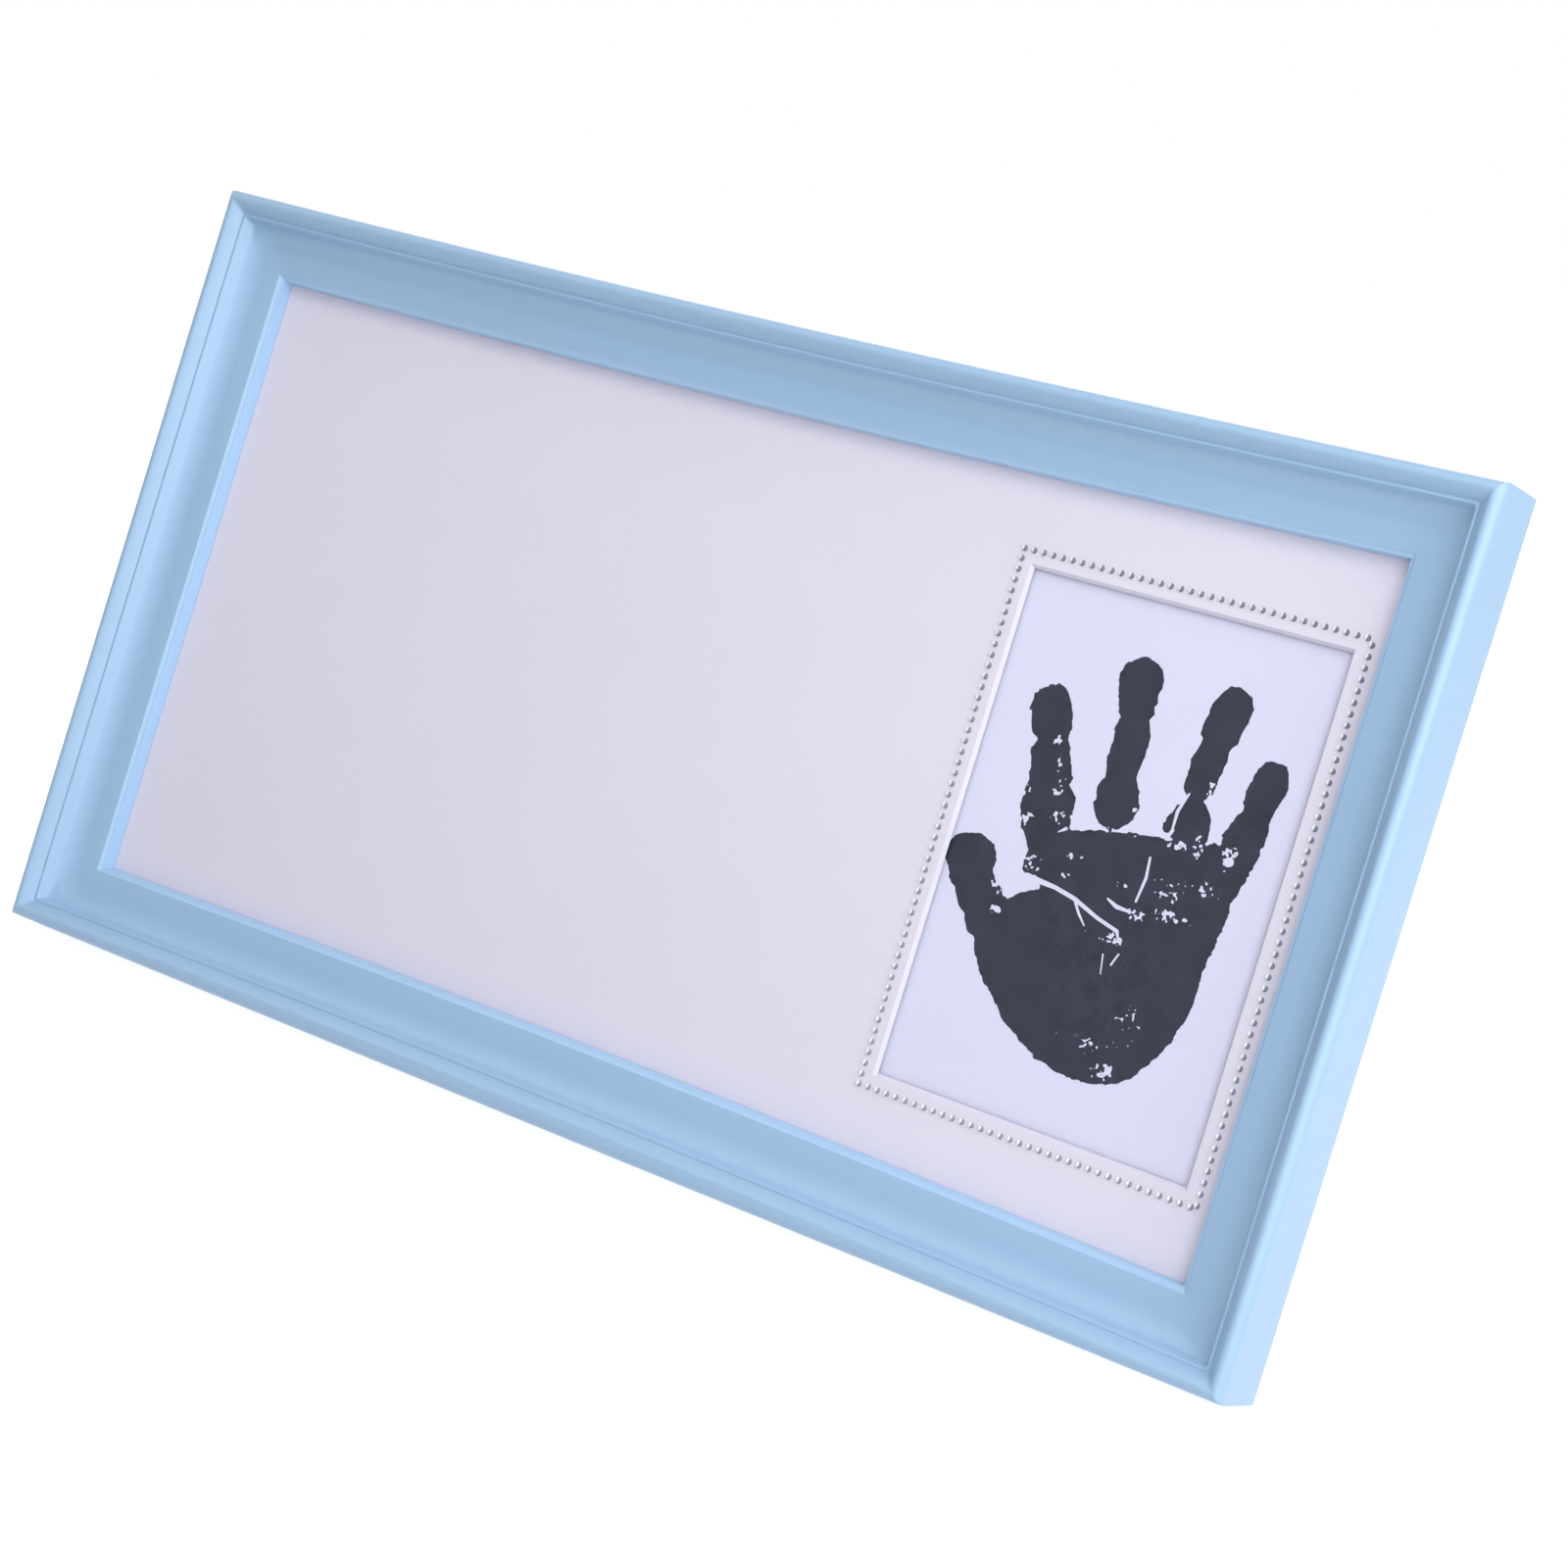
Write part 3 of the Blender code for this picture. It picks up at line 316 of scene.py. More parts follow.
def card_material(name, colour, fibre_size, contrast, roughness):
    shader = Shader(name, roughness)
    fibre = shader.noise(fibre_size, 4.0)
    clouds = shader.noise(0.03, 2.0)
    mixed = shader.mix(fibre, shade(colour, 1.0 - contrast), shade(colour, 1.0 + contrast))
    shader.colour(shader.mix(shader.ramp(clouds, 0.3, 0.7, 0.0, 0.4), mixed, shade(colour, 0.98)))
    shader.roughness(shader.ramp(fibre, 0.3, 0.7, roughness - 0.05, roughness + 0.05))
    shader.bump(fibre, 0.00001)
    return shader.material


def ink_material():
    """Dry slate-black stamping ink, a little uneven in tone and sheen."""
    ink = (0.020, 0.0245, 0.043)
    shader = Shader("slate_ink", 0.6)
    shader.surface.inputs["Specular IOR Level"].default_value = 0.3
    blots = shader.noise(0.006, 3.0)
    grain = shader.noise(0.0004, 3.0)
    tone = shader.mix(shader.ramp(blots, 0.3, 0.7), shade(ink, 0.72), shade(ink, 1.30))
    shader.colour(shader.mix(shader.ramp(grain, 0.55, 0.8, 0.0, 0.6), tone, shade(ink, 2.2)))
    shader.roughness(shader.ramp(blots, 0.3, 0.7, 0.46, 0.62))
    shader.bump(grain, 0.00001)
    return shader.material


def glazing_material():
    shader = Shader("clear_glazing_sheet", 0.04)
    shader.colour((0.10, 0.10, 0.11, 1.0))
    shader.surface.inputs["Alpha"].default_value = 0.03
    shader.surface.inputs["IOR"].default_value = 1.49
    shader.roughness(shader.ramp(shader.noise(0.02, 2.0), 0.3, 0.7, 0.02, 0.07))
    return shader.material


def hardboard_material():
    """Smooth brown hardboard: matted fibres, darker flecks and soft scuffs."""
    brown = (0.215, 0.118, 0.060)
    shader = Shader("brown_hardboard", 0.62)
    fibre = shader.noise(0.0011, 5.0, shader.stretched((1.0, 1.0, 0.45)))
    clouds = shader.noise(0.04, 3.0)
    fleck = shader.specks(0.0035, 0.0006)
    tone = shader.mix(shader.ramp(fibre, 0.3, 0.7), shade(brown, 0.74), shade(brown, 1.30))
    tone = shader.mix(shader.ramp(clouds, 0.3, 0.7, 0.0, 0.4), tone, shade(brown, 1.15))
    shader.colour(shader.mix(shader.math("MULTIPLY", fleck, 0.45), tone, shade(brown, 0.4)))
    shader.roughness(shader.ramp(clouds, 0.3, 0.7, 0.5, 0.7))
    shader.bump(fibre, 0.00004)
    return shader.material


def plated_material(name, colour, tint):
    """Bright plating with faint clouds of tint, drawing marks and small scratches."""
    shader = Shader(name, 0.3, metallic=1.0)
    clouds = shader.noise(0.004, 3.0)
    marks = shader.noise(0.00035, 3.0, shader.stretched((1.0, 6.0, 1.0)))
    shader.colour(shader.mix(shader.ramp(clouds, 0.35, 0.65), (*colour, 1.0), (*tint, 1.0)))
    shader.roughness(shader.ramp(marks, 0.3, 0.7, 0.24, 0.42))
    shader.bump(marks, 0.000006)
    return shader.material


def pearl_material(lowest, highest):
    """A grey half-pearl with a painted highlight on its left side. Painted light makes the pearls paler
    from the top row to the bottom row.
    """
    dark = (0.130, 0.125, 0.155, 1.0)
    light = (0.210, 0.205, 0.245, 1.0)
    painted_lit_grey = (0.26, 0.255, 0.31, 1.0)
    painted_highlight = (0.97, 0.96, 1.0, 1.0)
    shader = Shader("grey_half_pearl", 0.2)
    lustre = shader.noise(0.0004, 2.0)
    # Painted light: the pearls are painted paler, and their highlight wider, towards the bottom row
    painted_light_share = shader.ramp(shader.along(UP, shader.coordinates), highest, lowest)
    normal = shader.node("ShaderNodeNewGeometry").outputs["Normal"]
    highlight_share = shader.math("ADD", shader.along(PEARL_PAINTED_HIGHLIGHT, normal), shader.math("MULTIPLY", painted_light_share, 0.17))
    grey = shader.mix(painted_light_share, shader.mix(lustre, dark, light), painted_lit_grey)
    # Painted highlight: white on the side whose normal faces the upper left
    shader.colour(shader.mix(shader.ramp(highlight_share, 0.15, 0.5), grey, painted_highlight))
    shader.roughness(shader.ramp(lustre, 0.3, 0.7, 0.15, 0.25))
    shader.surface.inputs["Specular IOR Level"].default_value = 0.4
    return shader.material


def arc(centre, radii, start, end, steps):
    """Points along an arc, both ends included."""
    angles = [start + (end - start) * i / steps for i in range(steps + 1)]
    return [(centre[0] + radii[0] * math.cos(a), centre[1] + radii[1] * math.sin(a)) for a in angles]


def with_fill(points, first, last):
    """Adds to each point how widely the paint rounds the mitre there, eased from first to last."""
    share = [i / (len(points) - 1) for i in range(len(points))]
    return [(*point, first + (last - first) * s * s * (3 - 2 * s)) for point, s in zip(points, share)]


def rim_section():
    """The round outer edge, the crown, and the slope down to the groove."""
    round_centre = (OUTER_ROUND_WIDTH, OUTER_ROUND_DEPTH)
    edge = arc(round_centre, round_centre, math.pi, 1.5 * math.pi, EDGE_STEPS)
    crown_centre = (OUTER_ROUND_WIDTH, CROWN_RADIUS)
    crown_radii = (CROWN_RADIUS, CROWN_RADIUS)
    crown = arc(crown_centre, crown_radii, -math.pi / 2, RIM_TILT - math.pi / 2, CROWN_STEPS)
    drop = (RIM_WIDTH - crown[-1][0]) * math.tan(RIM_TILT)
    rim_end = (RIM_WIDTH, crown[-1][1] + drop)
    return with_fill(edge, EDGE_FILL, EDGE_FILL) + with_fill(crown + [rim_end], EDGE_FILL, RIDGE_FILL)[1:]


def cove_section(rim_end):
    """The groove, the fine ridge beside it, and the cove down to its floor."""
    groove = (rim_end[0] + GROOVE_WIDTH / 2, rim_end[1] + GROOVE_DROP - PAINT_IN_GROOVE)
    ridge_centre = (rim_end[0] + GROOVE_WIDTH + RIDGE_RADIUS, rim_end[1] + GROOVE_DROP)
    ridge_radii = (PAINTED_RIDGE_RADIUS, PAINTED_RIDGE_RADIUS)
    ridge_start = math.pi + math.asin(PAINT_IN_GROOVE / PAINTED_RIDGE_RADIUS)
    ridge_end = 2 * math.pi - math.acos(RIDGE_RADIUS / PAINTED_RIDGE_RADIUS)
    ridge = arc(ridge_centre, ridge_radii, ridge_start, ridge_end, RIDGE_STEPS)
    cove_centre = (ridge_centre[0] + RIDGE_RADIUS + COVE_WIDTH, ridge_centre[1])
    cove_radii = (COVE_WIDTH, COVE_FLOOR_DEPTH - cove_centre[1])
    wall_foot = 0.75 * math.pi
    wall = arc(cove_centre, cove_radii, math.pi - COVE_TOP_FILL, wall_foot, WALL_STEPS)
    bowl = arc(cove_centre, cove_radii, wall_foot, math.pi / 2, BOWL_STEPS)
    return (
        with_fill([groove] + ridge, RIDGE_FILL, RIDGE_FILL)
        + with_fill(wall, RIDGE_FILL, COVE_FILL)
        + with_fill(bowl, COVE_FILL, COVE_FILL)[1:]
    )


def lip_section(rail_width):
    """The end of the floor, the nose, the step, the tread and the wall to the sight edge."""
    floor_end = (rail_width - LIP_WIDTH, COVE_FLOOR_DEPTH + COVE_FLOOR_FALL)
    step_foot = (floor_end[0] + LIP_STEP_WIDTH, floor_end[1] + LIP_STEP_DROP)
    tread_end = (step_foot[0] + LIP_TREAD, step_foot[1] + LIP_TREAD_FALL)
    nose_radii = (LIP_NOSE, LIP_NOSE)
    noses = []
    for edge in (floor_end, tread_end):
        lift = LIP_NOSE if edge is floor_end else 0.0
        centre = (edge[0] - LIP_NOSE, edge[1] + lift)
        noses.append(arc(centre, nose_radii, -math.pi / 2, 0.0, NOSE_STEPS))
    points = noses[0] + [step_foot] + noses[1] + [(rail_width, MOULDING_DEPTH)]
    return with_fill(points, LIP_FILL, LIP_FILL)


def coat_section(rail_width, frame_depth):
    """The painted section as (inward, depth, mitre fill), lifted by the coat, its two ends tucked in."""
    rim = rim_section()
    base = [(0.0, frame_depth, EDGE_FILL)] + rim + cove_section(rim[-1]) + lip_section(rail_width)
    lifted = [(COAT, frame_depth - COAT, EDGE_FILL)]
    for before, here, after in zip(base[:1] + base, base, base[1:] + base[-1:]):
        step = Vector((after[0] - before[0], after[1] - before[1])).normalized()
        lifted.append((here[0] + COAT * step.y, here[1] - COAT * step.x, here[2]))
    lifted.append((rail_width - COAT, MOULDING_DEPTH - COAT, LIP_FILL))
    return lifted


def side_line(half, inward, fill, bow, steps):
    """One line of the section along a side, from mitre to just before the next, as (along, inward)."""
    flat = half - inward - fill
    turns = [math.pi / 4 * i / MITRE_STEPS for i in range(MITRE_STEPS, 0, -1)]
    start = [(-flat - fill * math.sin(a), inward + fill * (1 - math.cos(a))) for a in turns]
    straight = [(flat * (2 * i / steps - 1), inward) for i in range(steps + 1)]
    end = [(-x, y) for x, y in reversed(start)]
    reach = end[-1][0]
    return [(x, y + bow * math.cos(math.pi / 2 * x / reach)) for x, y in (start + straight + end)[:-1]]


def bow_at(inward, depth, frame_depth, edge_bow):
    """How far a long side's line bows inward at mid-length. Its back edge stays straight."""
    if inward < COAT and depth > OUTER_ROUND_DEPTH:
        return edge_bow * (frame_depth - depth) / (frame_depth - OUTER_ROUND_DEPTH)
    return edge_bow + (LONG_RAIL_BOW - edge_bow) * min(inward / OUTER_ROUND_WIDTH, 1.0)


def build_coat(nodes, material, painted_light_lip_material):
    """The paint: one coat over the faces of all four rails, which fills their mitres."""
    rail = nodes["left_rail"]
    back, front = span(rail, OUT)
    half_height = half_size(rail, UP)
    half_width = -span(rail, RIGHT)[0]
    rail_width = half_width + span(rail, RIGHT)[1]
    centre = place(0.0, middle(rail, UP), front)
    sides = (
        (RIGHT, UP, half_width, half_height, LONG_STEPS, 0.0, 1.0),
        (UP, -RIGHT, half_height, half_width, SHORT_STEPS, 0.0, 0.0),
        (-RIGHT, -UP, half_width, half_height, LONG_STEPS, TOP_EDGE_BOW, 1.0),
        (-UP, RIGHT, half_height, half_width, SHORT_STEPS, 0.0, 0.0),
    )
    verts = []
    lines = coat_section(rail_width, front - back)
    for inward, depth, fill in lines:
        for along, across, half, half_across, steps, edge_bow, bowed in sides:
            bow = bowed * bow_at(inward, depth, front - back, edge_bow)
            for x, y in side_line(half, inward, fill, bow, steps):
                verts.append(centre + along * x + across * (y - half_across) - OUT * depth)
    ring = len(verts) // len(lines)
    faces = []
    for line in range(len(lines) - 1):
        for i in range(ring):
            first, second = line * ring + i, line * ring + (i + 1) % ring
            faces.append((first, second, second + ring, first + ring))
    mesh = bpy.data.meshes.new("paint_coat")
    mesh.from_pydata(verts, [], faces)
    mesh.shade_smooth()
    mesh.set_sharp_from_angle(angle=COAT_SMOOTH_ANGLE)
    coat = new_piece("paint_coat", mesh, material)
    # The lip's faces take the lighter paint: painted light standing in for the highlights on the lip's
    # noses
    mesh.materials.append(painted_light_lip_material)
    lip_start = ring * (len(lines) - 1 - len(lip_section(rail_width)))
    for face in mesh.polygons[lip_start:]:
        face.material_index = 1
    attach(coat, "frame")


def build_mat(nodes, material):
    """The mat: a board that rests on the glazing, its window's cut leaning in towards the card."""
    board, card = nodes["mat_board"], nodes["print_card"]
    back = span(nodes["glazing_sheet"], OUT)[1]
    front = span(board, OUT)[1]
    middle_up = middle(card, UP)
    middle_right = middle(card, RIGHT) + WINDOW_SHIFT
    low_up, high_up = span(board, UP)
    low_right, high_right = span(board, RIGHT)
    rings = []
    for out, cut in ((back, WINDOW_CUT), (front, 0.0)):
        half_width, half_height = WINDOW_WIDTH / 2 - cut, WINDOW_HEIGHT / 2 - cut
        window = (
            middle_right - half_width,
            middle_right + half_width,
            middle_up - half_height,
            middle_up + half_height,
        )
        for left, right, low, high in ((low_right, high_right, low_up, high_up), window):
            turns = ((left, low), (right, low), (right, high), (left, high))
            rings.append([place(x, y, out) for x, y in turns])
    back_edge, back_window, face_edge, face_window = range(0, 16, 4)
    round_trip = (face_edge, face_window, back_window, back_edge, face_edge)
    faces = []
    for first, second in zip(round_trip, round_trip[1:]):
        for i in range(4):
            j = (i + 1) % 4
            faces.append((first + i, first + j, second + j, second + i))
    mesh = bpy.data.meshes.new("mat_with_window")
    mesh.from_pydata([point for ring in rings for point in ring], [], faces)
    mat = new_piece("mat_with_window", mesh, material)
    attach(mat, "frame")
    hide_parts(board.name)


def build_pearls(nodes, material):
    """Half-round pearls where each CAD strip has its beads."""
    for side in ("top", "right", "bottom", "left"):
        strip = nodes["bead_strip_" + side]
        axis, across = (RIGHT, UP) if side in ("top", "bottom") else (UP, RIGHT)
        low, high = span(strip, axis)
        count = round((high - low - BEAD_FILM_WIDTH) / BEAD_PITCH) + 1
        base = across * middle(strip, across) + OUT * span(strip, OUT)[0]
        bm = bmesh.new()
        for number in range(count):
            centre = base + axis * (low + BEAD_FILM_WIDTH / 2 + number * BEAD_PITCH)
            add_pearl(bm, centre)
        mesh = bpy.data.meshes.new("pearls_" + side)
        bm.to_mesh(mesh)
        bm.free()
        mesh.shade_smooth()
        pearls = new_piece("pearls_" + side, mesh, material)
        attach(pearls, "frame")
        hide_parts(strip.name)


def add_pearl(bm, centre):
    """The upper half of a ball, its flat side on the mat."""
    ball = bmesh.ops.create_uvsphere(
        bm, u_segments=BEAD_SEGMENTS, v_segments=BEAD_RINGS, radius=BEAD_RADIUS
    )
    level = -BEAD_RADIUS * 0.01
    below = [vert for vert in ball["verts"] if vert.co.z < level]
    kept = [vert for vert in ball["verts"] if vert.co.z >= level]
    bmesh.ops.delete(bm, geom=below, context="VERTS")
    for vert in kept:
        vert.co = centre + RIGHT * vert.co.x + UP * vert.co.y + OUT * vert.co.z


def new_piece(name, mesh, material):
    piece = bpy.data.objects.new(name, mesh)
    bpy.context.scene.collection.objects.link(piece)
    mesh.materials.append(material)
    return piece


def smooth_grid_noise(shape, cell, seed):
    """Smooth noise from -1 to 1 on a grid, its blots about cell grid steps across."""
    rng = np.random.default_rng(seed)
    rows, columns = (int(n / cell) + 3 for n in shape)
    coarse = rng.uniform(-1.0, 1.0, (rows, columns))
    y = np.arange(shape[0]) / cell
    x = np.arange(shape[1]) / cell
    y0, x0 = y.astype(int), x.astype(int)
    fy, fx = y - y0, x - x0
    fy = (fy * fy * (3 - 2 * fy))[:, None]
    fx = (fx * fx * (3 - 2 * fx))[None, :]
    upper = coarse[y0][:, x0] * (1 - fx) + coarse[y0][:, x0 + 1] * fx
    lower = coarse[y0 + 1][:, x0] * (1 - fx) + coarse[y0 + 1][:, x0 + 1] * fx
    return upper * (1 - fy) + lower * fy


def pad_distance(x, y, pad):
    """Distance to a pad: a round-ended bar from (x, y, radius) to (x, y, radius)."""
    (x0, y0, r0), (x1, y1, r1) = pad
    dx, dy = x1 - x0, y1 - y0
    share = np.clip(((x - x0) * dx + (y - y0) * dy) / (dx * dx + dy * dy), 0.0, 1.0)
    return np.hypot(x - x0 - share * dx, y - y0 - share * dy) - (r0 + share * (r1 - r0))


def merge(first, second, blend):
    """The union of two distances with its inner corner filled by about blend."""
    share = np.clip(0.5 + 0.5 * (second - first) / blend, 0.0, 1.0)
    return second + (first - second) * share - blend * share * (1 - share)


def outline_distance(x, y, points):
    """Signed distance to a closed outline, negative inside."""
    nearest = np.full(x.shape, np.inf)
    inside = np.zeros(x.shape, bool)
    for (x0, y0), (x1, y1) in zip(points, points[1:] + points[:1]):
        bar = ((x0, y0, 0.0), (x1, y1, 0.0))
        nearest = np.minimum(nearest, pad_distance(x, y, bar))
        crosses = (y0 > y) != (y1 > y)
        if y1 != y0:
            inside ^= crosses & (x < (x1 - x0) * (y - y0) / (y1 - y0) + x0)
    return np.where(inside, -nearest, nearest)


def rounded(points, times):
    """Cuts the corners of a closed outline, so that it turns smoothly."""
    for _ in range(times):
        cut = []
        for (x0, y0), (x1, y1) in zip(points, points[1:] + points[:1]):
            cut.append((0.75 * x0 + 0.25 * x1, 0.75 * y0 + 0.25 * y1))
            cut.append((0.25 * x0 + 0.75 * x1, 0.25 * y0 + 0.75 * y1))
        points = cut
    return points


def hand_pads():
    """The pads of each finger from its tip to its root, and of the thumb."""
    index = [
        ((-32.3, 37.3, 6.0), (-30.5, 33.0, 6.1)),
        ((-28.2, 25.0, 5.9), (-26.2, 19.6, 6.4)),
        ((-24.5, 11.8, 8.1), (-23.6, 7.6, 7.3)),
        ((-23.0, 4.0, 5.4), (-20.4, -2.6, 5.0)),
    ]
    middle_finger = [
        ((-8.6, 50.2, 6.4), (-7.4, 43.4, 5.4)),
        ((-6.5, 36.0, 5.4), (-6.3, 27.0, 5.1)),
        ((-5.3, 19.4, 6.4), (-4.9, 17.2, 6.7)),
    ]
    ring = [
        ((19.3, 49.6, 5.8), (18.0, 42.4, 5.2)),
        ((17.5, 36.0, 4.9), (16.6, 27.6, 4.3)),
        ((17.5, 19.8, 4.9), (18.3, 15.2, 5.2)),
        ((12.6, 21.0, 0.7), (11.4, 15.4, 1.4)),
    ]
    little = [
        ((35.9, 34.2, 5.3), (34.9, 27.6, 4.8)),
        ((34.3, 21.6, 5.1), (33.2, 17.0, 5.9)),
        ((32.9, 13.6, 5.5), (31.4, 5.6, 5.2)),
        ((26.4, 11.4, 3.3), (27.6, 8.0, 3.0)),
    ]
    thumb = [
        ((-44.2, -8.0, 6.1), (-40.8, -7.7, 6.1)),
        ((-41.6, -11.6, 5.9), (-31.6, -22.0, 6.9)),
    ]
    return [index, middle_finger, ring, little, thumb]


def palm_points():
    return rounded(
        [
            (-26.0, -2.0),
            (-20.0, 5.5),
            (-5.0, 9.6),
            (11.0, 12.4),
            (29.0, 10.0),
            (36.5, 1.5),
            (33.5, -17.0),
            (33.5, -33.0),
            (24.0, -50.0),
            (15.0, -55.5),
            (-3.0, -55.5),
            (-21.0, -45.5),
            (-37.5, -27.0),
            (-27.0, -15.0),
            (-17.0, -8.8),
            (-26.5, -8.6),
        ],
        times=3,
    )


def creases():
    """The bare lines of the palm, each a run of (x, y, half width)."""
    return [
        [
            (-24.0, -8.3, 0.9),
            (-15.0, -8.9, 0.6),
            (-8.4, -10.2, 0.6),
            (-0.2, -13.2, 0.5),
            (6.4, -14.9, 0.5),
            (7.7, -17.4, 0.2),
        ],
        [(-8.4, -10.2, 0.4), (-5.9, -13.6, 0.4), (-3.3, -16.2, 0.2)],
        [(9.3, 6.2, 0.35), (9.9, 0.8, 0.45), (9.1, -5.9, 0.35)],
        [(1.0, -7.5, 0.3), (4.2, -8.8, 0.6), (8.4, -9.0, 0.35)],
        [(4.5, -21.8, 0.25), (5.5, -27.0, 0.15)],
        [(8.9, -20.5, 0.25), (7.6, -23.8, 0.3)],
        [(14.6, 25.2, 0.3), (12.9, 20.0, 0.5), (13.0, 14.2, 0.3)],
        [(-17.0, 6.9, 0.5), (-19.2, 5.3, 0.1)],
    ]


def bare_patches():
    """Where the ink broke up: (x, y, half width, half height, strength)."""
    return [
        (-27.5, 28.6, 1.9, 2.3, 1.0),
        (-24.5, 24.2, 1.0, 3.6, 0.72),
        (-22.8, 17.0, 1.7, 3.4, 0.9),
        (-31.3, 14.2, 1.9, 1.7, 0.8),
        (-20.0, 9.4, 2.6, 2.6, 0.75),
        (-29.5, 6.0, 2.0, 3.2, 0.85),
        (-12.6, 0.4, 3.4, 1.0, 1.0),
        (-22.6, -4.2, 3.4, 3.4, 0.72),
        (-14.0, -5.6, 3.6, 2.2, 0.62),
        (4.0, -3.0, 2.0, 1.4, 0.92),
        (-1.0, 10.3, 5.2, 0.9, 0.7),
        (1.0, 15.4, 1.4, 3.0, 0.75),
        (20.4, 27.2, 1.2, 3.6, 0.95),
        (15.2, 11.4, 3.4, 1.5, 0.98),
        (21.6, 13.0, 1.8, 4.0, 0.8),
        (31.0, 12.2, 2.4, 3.4, 1.0),
        (27.0, 3.0, 4.0, 3.0, 0.74),
        (17.5, -0.5, 6.5, 3.4, 0.66),
        (20.0, -7.2, 7.0, 1.7, 0.95),
        (9.8, -9.4, 2.6, 2.0, 0.92),
        (5.0, -17.0, 6.0, 2.4, 0.68),
        (-31.5, -13.6, 3.4, 2.0, 0.82),
        (-30.2, -19.3, 2.2, 1.2, 1.0),
        (6.0, -46.0, 9.0, 2.4, 0.62),
        (14.6, -51.0, 4.4, 2.3, 0.9),
        (17.5, -38.0, 5.0, 6.0, 0.55),
    ]


def hand_field(x, y):
    """Distance in millimetres to the edge of the ink, negative where there is ink."""
    field = outline_distance(x, y, palm_points())
    for finger in hand_pads():
        joined = None
        for pad in finger:
            distance = pad_distance(x, y, pad)
            joined = distance if joined is None else merge(joined, distance, INK_BLEND)
        field = merge(field, joined, INK_BLEND)
    for strength, width, draw in EDGE_WAVES:
        field += strength * smooth_grid_noise(x.shape, width / INK_STEP, INK_SEED + draw)
    for line in creases():
        for bar in zip(line, line[1:]):
            field = np.maximum(field, -pad_distance(x, y, bar))
    return np.maximum(field, bare_field(x, y))


def bare_field(x, y):
    """Positive where flecks of bare card show inside the broken patches."""
    cover = np.zeros(x.shape)
    for px, py, half_width, half_height, strength in bare_patches():
        reach = np.hypot((x - px) / half_width, (y - py) / half_height)
        cover = np.maximum(cover, strength * np.clip(1.5 - reach, 0.0, 1.0))
    fleck = np.zeros(x.shape)
    for strength, width, draw in BARE_FLECKS:
        fleck += strength * smooth_grid_noise(x.shape, width / INK_STEP, INK_SEED + draw)
    return cover + fleck - BARE_LEVEL


def contour(field):
    """The crossing points of the zero line with the grid, and the pairs of them that it joins."""
    points = {}
    pairs = []

    def crossing(row, column, row_step, column_step):
        key = (row, column, row_step, column_step)
        if key not in points:
            first = field[row, column]
            second = field[row + row_step, column + column_step]
            share = first / (first - second)
            points[key] = (len(points), row + row_step * share, column + column_step * share)
        return points[key][0]

    inside = field < 0
    corners = (inside[:-1, :-1], inside[:-1, 1:], inside[1:, 1:], inside[1:, :-1])
    total = sum(corner.astype(int) for corner in corners)
    for row, column in np.argwhere((total > 0) & (total < 4)):
        here = [bool(corner[row, column]) for corner in corners]
        sides = (
            (row, column, 0, 1),
            (row, column + 1, 1, 0),
            (row + 1, column, 0, 1),
            (row, column, 1, 0),
        )
        cut = [side for i, side in enumerate(sides) if here[i] != here[(i + 1) % 4]]
        if len(cut) == 4:
            centre = field[row : row + 2, column : column + 2].mean() < 0
            if centre != here[0]:
                cut = cut[3:] + cut[:3]
        for first, second in zip(cut[::2], cut[1::2]):
            pairs.append((crossing(*first), crossing(*second)))
    ordered = sorted(points.values())
    return [(row, column) for _, row, column in ordered], pairs


def field_at(field, face, verts):
    """The field at the middle of a triangle whose points are in grid steps."""
    row = sum(verts[i].x for i in face) / len(face)
    column = sum(verts[i].y for i in face) / len(face)
    r, c = int(row), int(column)
    upper = field[r, c] + (field[r, c + 1] - field[r, c]) * (column - c)
    lower = field[r + 1, c] + (field[r + 1, c + 1] - field[r + 1, c]) * (column - c)
    return upper + (lower - upper) * (row - r)


def build_handprint(card, material):
    """A child's handprint as one thin film of ink on the card."""
    half_width = half_size(card, RIGHT) * MM_PER_METRE
    half_height = half_size(card, UP) * MM_PER_METRE
    columns = np.arange(-half_width, half_width, INK_STEP)
    rows = np.arange(-half_height, half_height, INK_STEP)
    x, y = np.meshgrid(columns, rows)
    field = hand_field(x, y)
    points, pairs = contour(field)
    inside_only = 1
    least_gap = 1e-5
    points = [Vector(point) for point in points]
    verts, _, faces, *_ = delaunay_2d_cdt(points, pairs, [], inside_only, least_gap)
    inked = [face for face in faces if field_at(field, face, verts) < 0]
    corner = place(middle(card, RIGHT), middle(card, UP), span(card, OUT)[1] + INK_LIFT)
    places = []
    for row, column in verts:
        across = columns[0] + column * INK_STEP
        up = rows[0] + row * INK_STEP
        places.append(corner + (RIGHT * across + UP * up) / MM_PER_METRE)
    mesh = bpy.data.meshes.new("handprint_ink")
    mesh.from_pydata(places, [], inked)
    mesh.update()
    ink = new_piece("handprint_ink", mesh, material)
    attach(ink, "frame")


